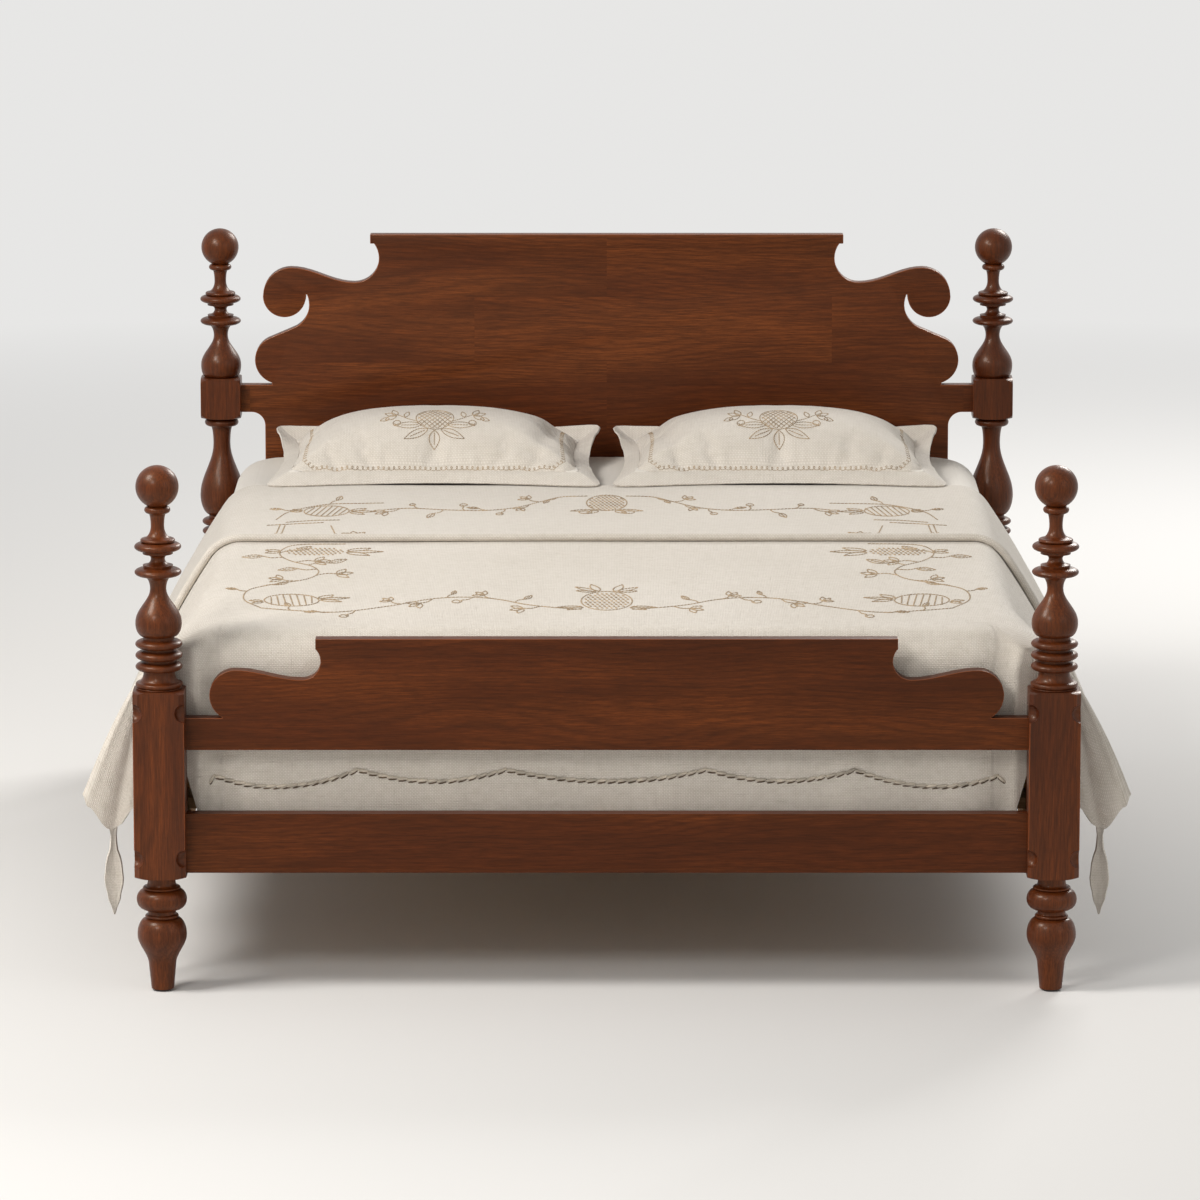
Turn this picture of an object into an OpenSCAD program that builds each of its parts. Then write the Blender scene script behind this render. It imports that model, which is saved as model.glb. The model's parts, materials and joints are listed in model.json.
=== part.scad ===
// Turned post bed for a queen mattress: four lathe-turned posts with lift-out ball finials,
// a scrolled headboard and footboard, hooked side rails, a slatted base, and the bedding.
// The origin is on the floor under the middle of the bed, and the headboard is at +Y.

/* [Mattress] */
// Width of the mattress
mattress_w = 1524; // [1370:1:1930]
// Length of the mattress
mattress_l = 2032; // [1900:1:2100]
// Height of the mattress
mattress_h = 300; // [240:1:320]
// Radius of the mattress's soft top and bottom edges
mattress_edge_r = 60; // [30:1:80]
// Radius of the mattress's corners seen from above
mattress_corner_r = 110; // [90:1:160]
// Room between the mattress and each side rail
side_gap = 13; // [8:1:20]
// Room between the mattress and the boards at its ends
end_gap = 19; // [16:1:30]

/* [Boards and rails] */
// Thickness of the headboard, the footboard and all rails
board_t = 30; // [24:1:34]
// Height of the side rails and the head rail
side_rail_h = 150; // [130:1:170]
// Height of the lower foot rail
foot_rail_h = 108; // [90:1:130]
// Height of the rails' lower edges above the bottom of the square blocks
rail_lift = 7; // [4:1:12]
// Height of the footboard's end rails
foot_shoulder_h = 58; // [45:1:70]
// Open gap between the lower foot rail and the footboard
foot_gap = 117; // [90:1:130]
// Height of the footboard's crest above its end rails
foot_crest = 144; // [120:1:170]
// Height of the headboard's end rails
head_shoulder_h = 57; // [45:1:65]
// Height of the headboard's crest above its end rails
head_crest = 314; // [290:1:360]
// Distance from the posts to the headboard's side edges below its end rails
head_side_gap = 50; // [35:1:60]
// How far the posts' centres stand outside the side rails' centres
rail_inset = 10; // [4:1:12]
// Depth of the tenons in the posts
tenon_l = 38; // [25:1:40]
// Thickness of the tenons
tenon_t = 12; // [10:1:14]
// Height of the tenons' shoulders above and below
tenon_shoulder = 8; // [4:1:12]

/* [Posts] */
// Side of the square blocks that the rails join
block_w = 92; // [88:1:100]
// Side of the small upper block on a head post
upper_block_w = 82; // [76:1:90]
// Height of the square block on a foot post
foot_block_h = 342; // [340:1:380]
// Height of the lower square block on a head post
head_block_h = 200; // [180:1:230]
// Height of the upper block on a head post
upper_block_h = 85; // [76:1:100]
// Height over which the lathe rounds a block's corners
pommel_h = 17; // [8:1:22]
// Width of the stopped chamfers on the long blocks
chamfer = 9; // [5:1:11]
// Length of the stopped chamfers
chamfer_l = 38; // [30:1:50]
// Radius of the scoop that stops a chamfer
scoop_r = 17; // [12:1:20]

/* [Turning] */
// Radius of the finial's ball
ball_r = 38.5; // [32:0.5:42]
// Radius of the collar under the ball
collar_r = 23.3; // [20:0.1:28]
// Radius of the finial's neck
neck_r = 12; // [11:0.5:15]
// Radius of the two thin discs
disc_r = 42; // [38:0.5:45]
// Radius of the spool between the discs
spool_r = 12.5; // [11:0.5:16]
// Radius of the upper vase's belly
vase_r = 41.6; // [36:0.1:45]
// Radius of the upper vase's neck
vase_neck_r = 14.5; // [12:0.5:18]
// Radius of the three stacked rings
ring_r = 42.2; // [38:0.1:45]
// Distance from ring to ring
ring_pitch = 20.5; // [18:0.5:24]
// Radius of the grooves between the rings
groove_r = 28; // [22:0.5:32]
// Radius of the head post's long vase
long_vase_r = 45.7; // [40:0.1:46]
// Radius of the long vase's neck
long_neck_r = 17.6; // [15:0.1:22]
// Height of the long vase from belly to neck
long_vase_h = 108; // [90:1:130]

/* [Turned foot] */
// Radius of the bulb under a block
bulb_r = 45.3; // [40:0.1:46]
// Height of the bulb
bulb_h = 37; // [30:1:44]
// Radius of the foot's vase
foot_vase_r = 44.5; // [38:0.1:46]
// Radius of the ankle where the vase meets the taper
ankle_r = 24.5; // [20:0.5:30]
// Height of the straight taper below the ankle
taper_h = 44; // [30:1:60]
// Radius of the foot at the floor
toe_r = 20.3; // [16:0.1:24]
// Thickness of the nylon glides
glide_h = 4; // [3:0.5:6]
// Radius of the nylon glides
glide_r = 15; // [12:0.5:16]

/* [Finial joint] */
// Radius of the finial's round tenon
peg_r = 9; // [7:0.5:11]
// Length of the finial's round tenon
peg_l = 24; // [18:1:26]

/* [Slatted base] */
// Number of slats
slat_count = 13; // [10:1:13]
// Width of a slat
slat_w = 90; // [70:1:95]
// Thickness of a slat
slat_t = 19; // [16:1:22]
// Width of the ledges that carry the slats
ledge_w = 25; // [20:1:30]
// Height of the ledges
ledge_h = 35; // [28:1:40]
// Height of the slats' undersides above the rails' lower edges
slat_lift = 102; // [90:1:104]
// Width of the centre beam
beam_w = 45; // [40:1:55]
// Height of the centre beam
beam_h = 75; // [60:1:85]
// Side of the square centre leg
leg_w = 66; // [64:1:75]

/* [Steel fittings] */
// Thickness of the fittings' plates
plate_t = 3; // [2:0.5:4]
// Width of the rail plates
plate_w = 20; // [18:1:24]
// Height of the rail plates
plate_h = 124; // [116:1:128]
// Radius of the wood screws
screw_r = 2; // [1.5:0.1:2.5]
// Length of the wood screws that hold the plates
screw_l = 24; // [18:1:28]
// Radius of the bolt through the centre leg
bolt_r = 4; // [3:0.5:5]

/* [Bedding] */
// Thickness of the coverlet
coverlet_t = 7; // [5:0.5:9]
// Distance along the bed from the mattress's foot to the coverlet's head edge
coverlet_l = 1545; // [1400:1:1600]
// Depth of the coverlet's drop at the sides
side_drop = 345; // [280:1:360]
// Length of the pointed tails that hang from the coverlet's foot corners
tail_l = 160; // [100:1:175]
// Width of the turned-down band of the top sheet
band_l = 620; // [500:1:700]
// Thickness of the turned-down band
band_t = 6; // [4:0.5:8]
// Width of a pillow with its flanged sham
sham_w = 667; // [600:1:700]
// Depth of a pillow with its flanged sham
sham_l = 486; // [440:1:495]
// Height of a pillow's crown
pillow_h = 138; // [110:1:160]
// Width of the sham's flat flange
flange = 46; // [30:1:60]
// Thickness of the sham's cloth
sham_t = 2.4; // [1.6:0.2:3]

/* [Hidden] */
$fn = 72;
// Room in a fitted joint, on each side
joint_gap = 0.2;
// Room round a lift-out peg, on the radius
peg_gap = 0.05;
// Room between soft pieces that lie on each other
soft_gap = 0.4;
// Room round a screw, on the radius
screw_gap = 0.05;
// How far a cut runs past the face that it opens
cut = 1;
// How far a turned part runs into the block beside it
root = 6;
// Samples along each curve of a turned outline
steps = 10;

// Plan of the bed
rail_x = mattress_w / 2 + side_gap + board_t / 2;
post_x = rail_x + rail_inset;
post_y = mattress_l / 2 + end_gap + board_t / 2;
face_x = post_x - block_w / 2;
face_y = post_y - block_w / 2;
upper_face_x = post_x - upper_block_w / 2;

// Heights of the turned foot's members, from the floor up
vase_low_h = 55;
vase_top_h = 31;
ankle_bead_h = 6.5;
ankle_cove_h = 9.5;
fillet_h = 5;
foot_neck_h = 20;
bead_r = 30;
cove_r = 25;
foot_h = glide_h + taper_h + vase_low_h + vase_top_h + ankle_bead_h + ankle_cove_h
    + bulb_h + fillet_h + foot_neck_h;

// Heights of the upper members, from the block up
flare_h = 30;
flare_top_h = 3;
flare_foot_h = 12;
flare_r = 41.5;
ring_h = 16.2;
rings_h = 3 * ring_pitch + 3.5;
vase_base_h = 24;
vase_rise_h = 62;
vase_cove_h = 22.5;
disc_h = 16;
disc_fillet_h = 5;
spool_low_h = 11.5;
spool_top_h = 8.5;
disc_root_r = 26;
long_base_h = 42.5;
long_cove_h = 37;
long_collar_h = 15;
long_collar_r = 35;
upper_gap_h = 3;
vase_top = vase_base_h + vase_rise_h + vase_cove_h;
discs_h = disc_h + disc_fillet_h + spool_low_h + spool_top_h + disc_fillet_h + disc_h;

// Heights of the finial's members, from its seat up
seat_bead_h = 7;
seat_bead_r = 31;
neck_low_h = 22;
neck_top_h = 23;
collar_h = 13;
ball_root_r = 16;
collar_top = seat_bead_h + neck_low_h + neck_top_h + collar_h;
ball_z = collar_top + sqrt(ball_r * ball_r - ball_root_r * ball_root_r);

// Heights above the floor
rail_z = foot_h + rail_lift;
foot_block_top = foot_h + foot_block_h;
head_block_top = foot_h + head_block_h;
foot_seat = foot_block_top + flare_h + rings_h + vase_top + discs_h;
upper_block_z = head_block_top + flare_h + rings_h + long_base_h + long_vase_h + long_cove_h
    + long_collar_h + upper_gap_h;
upper_block_top = upper_block_z + upper_block_h;
head_seat = upper_block_top + vase_top + discs_h;
footboard_z = rail_z + foot_rail_h + foot_gap;
head_shoulder_z = upper_block_z + (upper_block_h - head_shoulder_h) / 2 - 2;
slat_z = rail_z + slat_lift;
beam_z = slat_z - beam_h;
mattress_z = slat_z + slat_t + soft_gap;
mattress_top = mattress_z + mattress_h;
sheet_t = 1.4;
skin = 2 * soft_gap + sheet_t;
cloth_z = mattress_top + skin;

function slat_name(i) = str("slat_", i < 10 ? "0" : "", i);

// Outline helpers. Each gives [radius, height] points from the lower end to the upper one.

// A rounded bead that swells from in_r to out_r
function bead(z, h, in_r, out_r) =
    [for (i = [0 : steps]) let (a = -90 + 180 * i / steps)
        [in_r + (out_r - in_r) * cos(a), z + h / 2 + h / 2 * sin(a)]];

// A hollow that leaves its lower end upright and widens towards its upper end
function cove_up(z, h, low_r, top_r) =
    [for (i = [0 : steps]) let (a = 90 * i / steps)
        [top_r + (low_r - top_r) * cos(a), z + h * sin(a)]];

// A hollow that is widest at its lower end and stands upright at its upper end
function cove_down(z, h, low_r, top_r) =
    [for (i = [0 : steps]) let (a = 90 * i / steps)
        [low_r + (top_r - low_r) * sin(a), z + h * (1 - cos(a))]];

// The round underside of a vase, from its foot to its belly
function belly_low(z, h, low_r, top_r) =
    [for (i = [0 : steps]) let (a = 90 * i / steps)
        [low_r + (top_r - low_r) * sin(a), z + h * (1 - cos(a))]];

// The long side of a vase, which flows as half a cosine wave
function flow(z, h, low_r, top_r, skew = 1) =
    [for (i = [0 : steps]) let (t = i / steps)
        [top_r + (low_r - top_r) * (1 + cos(180 * pow(t, skew))) / 2, z + h * t]];

// The round top of a vase, from its belly to its shoulder
function belly_top(z, h, low_r, top_r) =
    [for (i = [0 : steps]) let (a = 90 * i / steps)
        [top_r + (low_r - top_r) * cos(a), z + h * sin(a)]];

// A turned solid from its outline, closed on the axis
module turned(outline) {
    first = outline[0];
    last = outline[len(outline) - 1];
    rotate_extrude()
        polygon(concat([[0, first[1]]], outline, [[0, last[1]]]));
}

// The turned foot, from the top of its glide to inside the block
function foot_outline() =
    let (z0 = glide_h, z1 = z0 + taper_h, z2 = z1 + vase_low_h, z3 = z2 + vase_top_h,
         z4 = z3 + ankle_bead_h, z5 = z4 + ankle_cove_h, z6 = z5 + bulb_h, z7 = z6 + fillet_h)
    concat([[toe_r, z0]],
        flow(z1, vase_low_h, ankle_r, foot_vase_r),
        belly_top(z2, vase_top_h, foot_vase_r, bead_r - 2),
        bead(z3, ankle_bead_h, bead_r - 3, bead_r),
        cove_down(z4, ankle_cove_h / 2, bead_r - 3, cove_r),
        cove_up(z4 + ankle_cove_h / 2, ankle_cove_h / 2, cove_r, bead_r),
        bead(z5, bulb_h, bead_r, bulb_r),
        bead(z6, fillet_h, bead_r, bead_r + 4),
        cove_down(z7, foot_neck_h / 2, bead_r, cove_r),
        [[cove_r, foot_h + root]]);

// The flared base and three rings above a long block
function rings_outline(z) =
    let (top = z + flare_h)
    concat([[flare_r - 2, z - root], [flare_r - 2, z]],
        bead(z, flare_top_h, flare_r - 2, flare_r),
        bead(z + flare_top_h, flare_foot_h - flare_top_h, flare_r - 2, flare_r + 1),
        cove_down(z + flare_foot_h, flare_h - flare_foot_h, flare_r - 3, groove_r),
        [for (k = [0 : 2], p = bead(top + k * ring_pitch + (ring_pitch - ring_h) / 2, ring_h,
            groove_r, ring_r)) p],
        [[groove_r, top + rings_h]]);

// The upper vase with the two discs, up to the finial's seat
function crown_outline(z, base_r) =
    let (z1 = z + vase_base_h, z2 = z1 + vase_rise_h, z3 = z2 + vase_cove_h, z4 = z3 + disc_h,
         z5 = z4 + disc_fillet_h, z6 = z5 + spool_low_h, z7 = z6 + spool_top_h,
         z8 = z7 + disc_fillet_h)
    concat(belly_low(z, vase_base_h, base_r, vase_r),
        flow(z1, vase_rise_h, vase_r, vase_neck_r, 1.1),
        cove_up(z2, vase_cove_h, vase_neck_r, disc_root_r),
        bead(z3, disc_h, disc_root_r, disc_r),
        [[disc_root_r + 1, z5]],
        cove_down(z5, spool_low_h, disc_root_r, spool_r),
        cove_up(z6, spool_top_h, spool_r, disc_root_r),
        [[disc_root_r + 1, z7], [disc_root_r + 1, z8]],
        bead(z8, disc_h, disc_root_r + 1, disc_r));

// The long vase and collar between a head post's blocks
function long_vase_outline(z) =
    let (z1 = z + long_base_h, z2 = z1 + long_vase_h, z3 = z2 + long_cove_h,
         z4 = z3 + long_collar_h)
    concat(belly_low(z, long_base_h, groove_r - 3, long_vase_r),
        flow(z1, long_vase_h, long_vase_r, long_neck_r),
        cove_up(z2, long_cove_h, long_neck_r, long_neck_r + 6),
        bead(z3, long_collar_h, long_neck_r + 10, long_collar_r),
        [[long_neck_r + 10, z4 + upper_gap_h + root]]);

// A square block whose corners the lathe has rounded at both ends
module block(w, z, h) {
    end_r = w / 2 + 1.5;
    full_r = w * sqrt(2) / 2 + 0.5;
    intersection() {
        translate([-w / 2, -w / 2, z])
            cube([w, w, h]);
        turned(concat(
            belly_low(z, pommel_h, end_r, full_r),
            belly_top(z + h - pommel_h, pommel_h, full_r, end_r)));
    }
}

// The stopped chamfers at both ends of a long block's four corners
module chamfer_cuts(w, z, h) {
    corner = w / 2;
    for (a = [0 : 90 : 270])
        rotate([0, 0, a])
            translate([corner, corner, 0]) {
                for (low = [z - cut, z + h - chamfer_l])
                    translate([0, 0, low])
                        rotate([0, 0, 45])
                            translate([-chamfer / sqrt(2), -chamfer * 2, 0])
                                cube([chamfer * 2, chamfer * 4, chamfer_l + cut]);
                for (mid = [z + chamfer_l, z + h - chamfer_l])
                    translate([0, 0, mid])
                        sphere(r = scoop_r);
            }
}

// A flat mortise that opens on the inner side face of a block
module mortise(face, z, h) {
    translate([-face - cut, -tenon_t / 2 - joint_gap, z + tenon_shoulder - joint_gap])
        cube([tenon_l + joint_gap + cut, tenon_t + 2 * joint_gap,
              h - 2 * tenon_shoulder + 2 * joint_gap]);
}

// Hook fitting: sizes shared by the rail's hooks and the post's slots
hook_w = 4;
hook_arm = 10;
hook_tip = 10;
hook_reach = plate_t + 6;
hook_step = 30;
slot_room = 12;
plate_mid = rail_z + side_rail_h / 2;
screw_step = plate_h / 2 - 8;
rail_side = (post_x - rail_x);

// What is cut from a post's face for the slotted plate, its hooks and its screws
module plate_cuts(w) {
    translate([rail_side, w / 2, plate_mid]) {
        translate([-plate_w / 2 - joint_gap, -plate_t - joint_gap, -plate_h / 2 - joint_gap])
            cube([plate_w + 2 * joint_gap, plate_t + joint_gap + cut,
                  plate_h + 2 * joint_gap]);
        for (k = [-1, 1])
            translate([-hook_w / 2 - 2, -hook_reach - 2, k * hook_step - hook_arm / 2 - hook_tip - 1])
                cube([hook_w + 4, hook_reach + 2, hook_arm + hook_tip + slot_room + 2]);
        for (k = [-1, 1])
            translate([0, cut, k * screw_step])
                rotate([90, 0, 0])
                    cylinder(r = screw_r + screw_gap, h = screw_l + cut + 1);
    }
}

// The hole for a glide's nail
nail_r = 1.5;
nail_l = 16;
module nail_cut() {
    translate([0, 0, glide_h - cut])
        cylinder(r = nail_r + screw_gap, h = nail_l + cut + 1);
}

// The socket that a finial's peg drops into
module peg_cut(seat) {
    translate([0, 0, seat - peg_l - 2])
        cylinder(r = peg_r + peg_gap, h = peg_l + 2 + cut);
}

// A foot post, drawn for the left corner with the side rail towards +Y
module foot_post() {
    color("#6b3420")
    difference() {
        union() {
            turned(foot_outline());
            block(block_w, foot_h, foot_block_h);
            turned(rings_outline(foot_block_top));
            turned(crown_outline(foot_block_top + flare_h + rings_h, groove_r));
        }
        chamfer_cuts(block_w, foot_h, foot_block_h);
        mirror([1, 0, 0]) {
            mortise(block_w / 2, rail_z, foot_rail_h);
            mortise(block_w / 2, footboard_z, foot_shoulder_h);
        }
        plate_cuts(block_w);
        nail_cut();
        peg_cut(foot_seat);
    }
}

// A head post, drawn for the left corner with the side rail towards +Y
module head_post() {
    long_z = head_block_top + flare_h + rings_h;
    color("#6b3420")
    difference() {
        union() {
            turned(foot_outline());
            block(block_w, foot_h, head_block_h);
            turned(rings_outline(head_block_top));
            turned(long_vase_outline(long_z));
            block(upper_block_w, upper_block_z, upper_block_h);
            turned(crown_outline(upper_block_top, vase_r - 9));
            translate([0, 0, upper_block_top - root])
                cylinder(r = vase_r - 10, h = root + cut);
        }
        chamfer_cuts(block_w, foot_h, head_block_h);
        mirror([1, 0, 0]) {
            mortise(block_w / 2, rail_z, side_rail_h);
            mortise(upper_block_w / 2, head_shoulder_z, head_shoulder_h);
        }
        plate_cuts(block_w);
        nail_cut();
        peg_cut(head_seat);
    }
}

// A ball finial with its collar, neck and round peg
module finial(seat) {
    z1 = seat + seat_bead_h;
    z2 = z1 + neck_low_h;
    z3 = z2 + neck_top_h;
    color("#743a24")
    union() {
        turned(concat(
            bead(seat, seat_bead_h, disc_root_r + 1, seat_bead_r),
            cove_down(z1, neck_low_h, disc_root_r + 1, neck_r),
            cove_up(z2, neck_top_h, neck_r, ball_root_r),
            bead(z3, collar_h, ball_root_r, collar_r),
            [[ball_root_r, seat + ball_z]]));
        translate([0, 0, seat + ball_z])
            sphere(r = ball_r);
        translate([0, 0, seat - peg_l])
            cylinder(r = peg_r, h = peg_l + 2);
    }
}

// Board outlines, drawn for the +X half as [distance from the middle, height]
function arc(x, z, r, from, to) =
    let (n = max(2, ceil(abs(to - from) / 9)))
    [for (i = [0 : n]) let (a = from + (to - from) * i / n) [x + r * cos(a), z + r * sin(a)]];

// A gentle rise from one level stretch to another
function rise(x0, z0, x1, z1) =
    [for (i = [1 : steps - 1]) let (t = i / steps)
        [x0 + (x1 - x0) * t, z0 + (z1 - z0) * (1 - cos(180 * t)) / 2]];

// Headboard: the crest's end, hollow, scroll, throat and lobe, placed from the post's face
head_hollow_r = 51;
scroll_r = 58;
scroll_eye_r = 44.5;
throat_r = 53;
lobe_r = 50;
step_h = 19;
head_corner_r = 28;
function headboard_half() =
    let (f = upper_face_x, z = head_shoulder_z + head_shoulder_h, top = z + head_crest,
         hollow = [f - 237, top - 49], scroll = [f - 106, top - 127],
         eye = [f - 92, top - 128], throat = [f - 90, top - 146], lobe = [f - 80, z + 52],
         side = f - head_side_gap, low = rail_z + side_rail_h)
    concat([[f - 270, top], [f - 270, top - step_h]],
        arc(hollow[0], hollow[1], head_hollow_r, 144, 270),
        rise(hollow[0], hollow[1] - head_hollow_r, scroll[0], scroll[1] + scroll_r),
        arc(scroll[0], scroll[1], scroll_r, 90, 2),
        arc(eye[0], eye[1], scroll_eye_r, -2, -184),
        arc(throat[0], throat[1], throat_r, 157, 250),
        arc(lobe[0], lobe[1], lobe_r, 62, -72),
        [[lobe[0] + 15, z], [f, z], [f, z - tenon_shoulder], [f + tenon_l, z - tenon_shoulder],
         [f + tenon_l, z - head_shoulder_h + tenon_shoulder],
         [f, z - head_shoulder_h + tenon_shoulder], [f, z - head_shoulder_h]],
        arc(side + head_corner_r, z - head_shoulder_h - head_corner_r, head_corner_r, 90, 180),
        [[side, low]]);

// Footboard: the crest's end, hollow and lobe, placed from the post's face
foot_hollow_r = 33.5;
foot_lobe_r = 46;
function footboard_half() =
    let (f = face_x, z = footboard_z + foot_shoulder_h, top = z + foot_crest,
         hollow = [f - 209.5, top - 41], lobe = [f - 90, z + 41])
    concat([[f - 234, top], [f - 234, top - step_h]],
        arc(hollow[0], hollow[1], foot_hollow_r, 141, 270),
        rise(hollow[0], hollow[1] - foot_hollow_r, lobe[0], lobe[1] + foot_lobe_r),
        arc(lobe[0], lobe[1], foot_lobe_r, 90, -60),
        [[lobe[0] + 24, z], [f, z], [f, z - tenon_shoulder], [f + tenon_l, z - tenon_shoulder],
         [f + tenon_l, z - foot_shoulder_h + tenon_shoulder],
         [f, z - foot_shoulder_h + tenon_shoulder], [f, z - foot_shoulder_h]]);

// Both halves of an outline in one ring
function both(half) =
    concat(half, [for (i = [len(half) - 1 : -1 : 0]) [-half[i][0], half[i][1]]]);

// A board cut from its outline, with its tenons thinned
module shaped_board(half, face, y) {
    difference() {
        translate([0, y + board_t / 2, 0])
            rotate([90, 0, 0])
                linear_extrude(board_t)
                    polygon(both(half));
        tenon_cheeks(face, y);
    }
}

// What is cut from a board's ends to leave its tenons
module tenon_cheeks(face, y) {
    tall = 2 * head_crest + 1200;
    for (s = [-1, 1], k = [-1, 1])
        translate([s > 0 ? face : -face - tenon_l - cut,
                   k > 0 ? y + tenon_t / 2 : y - tenon_t / 2 - board_t, 0])
            cube([tenon_l + cut, board_t, tall]);
}

// A plain rail between two posts, with a tenon at each end
module tenoned_rail(y, z, h) {
    difference() {
        union() {
            translate([-face_x, y - board_t / 2, z])
                cube([2 * face_x, board_t, h]);
            translate([-face_x - tenon_l, y - tenon_t / 2, z + tenon_shoulder])
                cube([2 * (face_x + tenon_l), tenon_t, h - 2 * tenon_shoulder]);
        }
        children();
    }
}

// Groove in the head rail's top for the headboard's tongue
tongue_h = 10;
module headboard() {
    color("#70391f")
    union() {
        shaped_board(headboard_half(), upper_face_x, post_y);
        translate([-upper_face_x + head_side_gap, post_y - tenon_t / 2,
                   rail_z + side_rail_h - tongue_h])
            cube([2 * (upper_face_x - head_side_gap), tenon_t, tongue_h + cut]);
    }
}

module head_rail() {
    color("#6a351d")
    tenoned_rail(post_y, rail_z, side_rail_h) {
        translate([-upper_face_x + head_side_gap - joint_gap, post_y - tenon_t / 2 - joint_gap,
                   rail_z + side_rail_h - tongue_h - joint_gap])
            cube([2 * (upper_face_x - head_side_gap + joint_gap), tenon_t + 2 * joint_gap,
                  tongue_h + joint_gap + cut]);
        hanger_holes(1);
    }
}

module footboard() {
    color("#683018")
    shaped_board(footboard_half(), face_x, -post_y);
}

module foot_rail() {
    color("#683018")
    tenoned_rail(-post_y, rail_z, foot_rail_h)
        hanger_holes(-1);
}

// A countersunk wood screw that points to -Z, with the top of its head at the origin
head_h = 2.4;
module screw(l) {
    translate([0, 0, -head_h])
        cylinder(r1 = screw_r, r2 = 2 * screw_r, h = head_h);
    translate([0, 0, -l])
        cylinder(r = screw_r, h = l - head_h / 2);
}

// The room that a screw needs, with its countersink
module screw_cut(l) {
    translate([0, 0, -head_h])
        cylinder(r1 = screw_r + screw_gap, r2 = 2 * screw_r + screw_gap, h = head_h);
    translate([0, 0, -l - 1])
        cylinder(r = screw_r + screw_gap, h = l);
    cylinder(r = 2 * screw_r + screw_gap, h = cut);
}

// Places for the screws of one rail plate
module at_plate_screws() {
    for (k = [-1, 1])
        translate([0, 0, plate_mid + k * screw_step])
            children();
}

// One side rail, drawn at its place on the +X side
module side_rail() {
    color("#6b3420")
    difference() {
        translate([rail_x - board_t / 2, -face_y, rail_z])
            cube([board_t, 2 * face_y, side_rail_h]);
        for (s = [-1, 1]) {
            translate([rail_x - plate_w / 2 - joint_gap,
                       s > 0 ? face_y - plate_t - joint_gap : -face_y - cut,
                       plate_mid - plate_h / 2 - joint_gap])
                cube([plate_w + 2 * joint_gap, plate_t + joint_gap + cut,
                      plate_h + 2 * joint_gap]);
            at_plate_screws()
                translate([rail_x, s * (face_y + cut), 0])
                    rotate([s * 90, 0, 0])
                        cylinder(r = screw_r + screw_gap, h = screw_l + cut + 1);
        }
        ledge_screw_places()
            translate([rail_x - board_t / 2 - cut, 0, 0])
                rotate([0, 90, 0])
                    cylinder(r = screw_r + screw_gap, h = board_t / 2 + cut + 4);
    }
}

// The steel plate with two hooks in the end of a side rail, drawn at the origin facing +Y
module rail_hook() {
    color("#8f9294")
    difference() {
        union() {
            translate([-plate_w / 2, -plate_t, -plate_h / 2])
                cube([plate_w, plate_t, plate_h]);
            for (k = [-1, 1])
                translate([hook_w / 2, 0, k * hook_step])
                    rotate([90, 0, -90])
                        linear_extrude(hook_w)
                            polygon([[1, hook_arm / 2], [-hook_reach, hook_arm / 2],
                                [-hook_reach, -hook_arm / 2 - hook_tip],
                                [-plate_t - joint_gap, -hook_arm / 2 - hook_tip],
                                [-plate_t - joint_gap, -hook_arm / 2], [1, -hook_arm / 2]]);
        }
        for (k = [-1, 1])
            translate([0, 0, k * screw_step])
                rotate([-90, 0, 0])
                    screw_cut(screw_l);
    }
}

// The slotted steel plate in a post's face, drawn at the origin facing -Y
module post_plate() {
    color("#8f9294")
    difference() {
        translate([-plate_w / 2, 0, -plate_h / 2])
            cube([plate_w, plate_t, plate_h]);
        for (k = [-1, 1])
            translate([-hook_w / 2 - 0.5, -cut, k * hook_step - hook_arm / 2])
                cube([hook_w + 1, plate_t + 2 * cut, hook_arm + slot_room]);
        for (k = [-1, 1])
            translate([0, 0, k * screw_step])
                rotate([90, 0, 0])
                    screw_cut(screw_l);
    }
}

// The two screws of a rail plate and of a post plate, drawn at the origin
module rail_plate_screws() {
    for (k = [-1, 1], a = [-90, 90])
        translate([0, 0, k * screw_step])
            rotate([a, 0, 0])
                screw(screw_l);
}

// Places and turns its children at one corner, from the drawing at the origin
module at_corner(side, end) {
    translate([side * rail_x, end * face_y, plate_mid])
        mirror([0, end > 0 ? 0 : 1, 0])
            children();
}

module plate_screws() {
    color("#b9bbbd")
    for (side = [-1, 1], end = [-1, 1])
        at_corner(side, end)
            rail_plate_screws();
}

// Slats, ledges and their screws
slat_pitch = (2 * face_y - slat_w - 28) / (slat_count - 1);
function slat_y(i) = -face_y + 14 + slat_w / 2 + (i - 1) * slat_pitch;
slat_half = rail_x - board_t / 2 - 2;
ledge_x = rail_x - board_t / 2 - ledge_w;
ledge_end = 12;
slat_screw_x = ledge_x + ledge_w / 2;
slat_screw_l = 38;
ledge_screws_n = 6;
ledge_screw_l = ledge_w + board_t / 2;

// Places for the horizontal screws of one ledge, midway between slats
module ledge_screw_places() {
    for (k = [0 : ledge_screws_n - 1])
        let (i = 1 + round(k * (slat_count - 2) / (ledge_screws_n - 1)))
            translate([0, slat_y(i) + slat_pitch / 2, slat_z - ledge_h / 2])
                children();
}

module slat_ledge() {
    color("#b98d5f")
    difference() {
        translate([ledge_x, -face_y + ledge_end, slat_z - ledge_h])
            cube([ledge_w, 2 * (face_y - ledge_end), ledge_h]);
        ledge_screw_places()
            translate([ledge_x, 0, 0])
                rotate([0, -90, 0])
                    screw_cut(ledge_screw_l);
        for (i = [1 : slat_count])
            translate([slat_screw_x, slat_y(i), slat_z + slat_t])
                screw_cut(slat_screw_l);
    }
}

module ledge_screws() {
    color("#b9bbbd")
    for (s = [0, 1])
        mirror([s, 0, 0])
            ledge_screw_places()
                translate([ledge_x, 0, 0])
                    rotate([0, -90, 0])
                        screw(ledge_screw_l);
}

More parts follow.
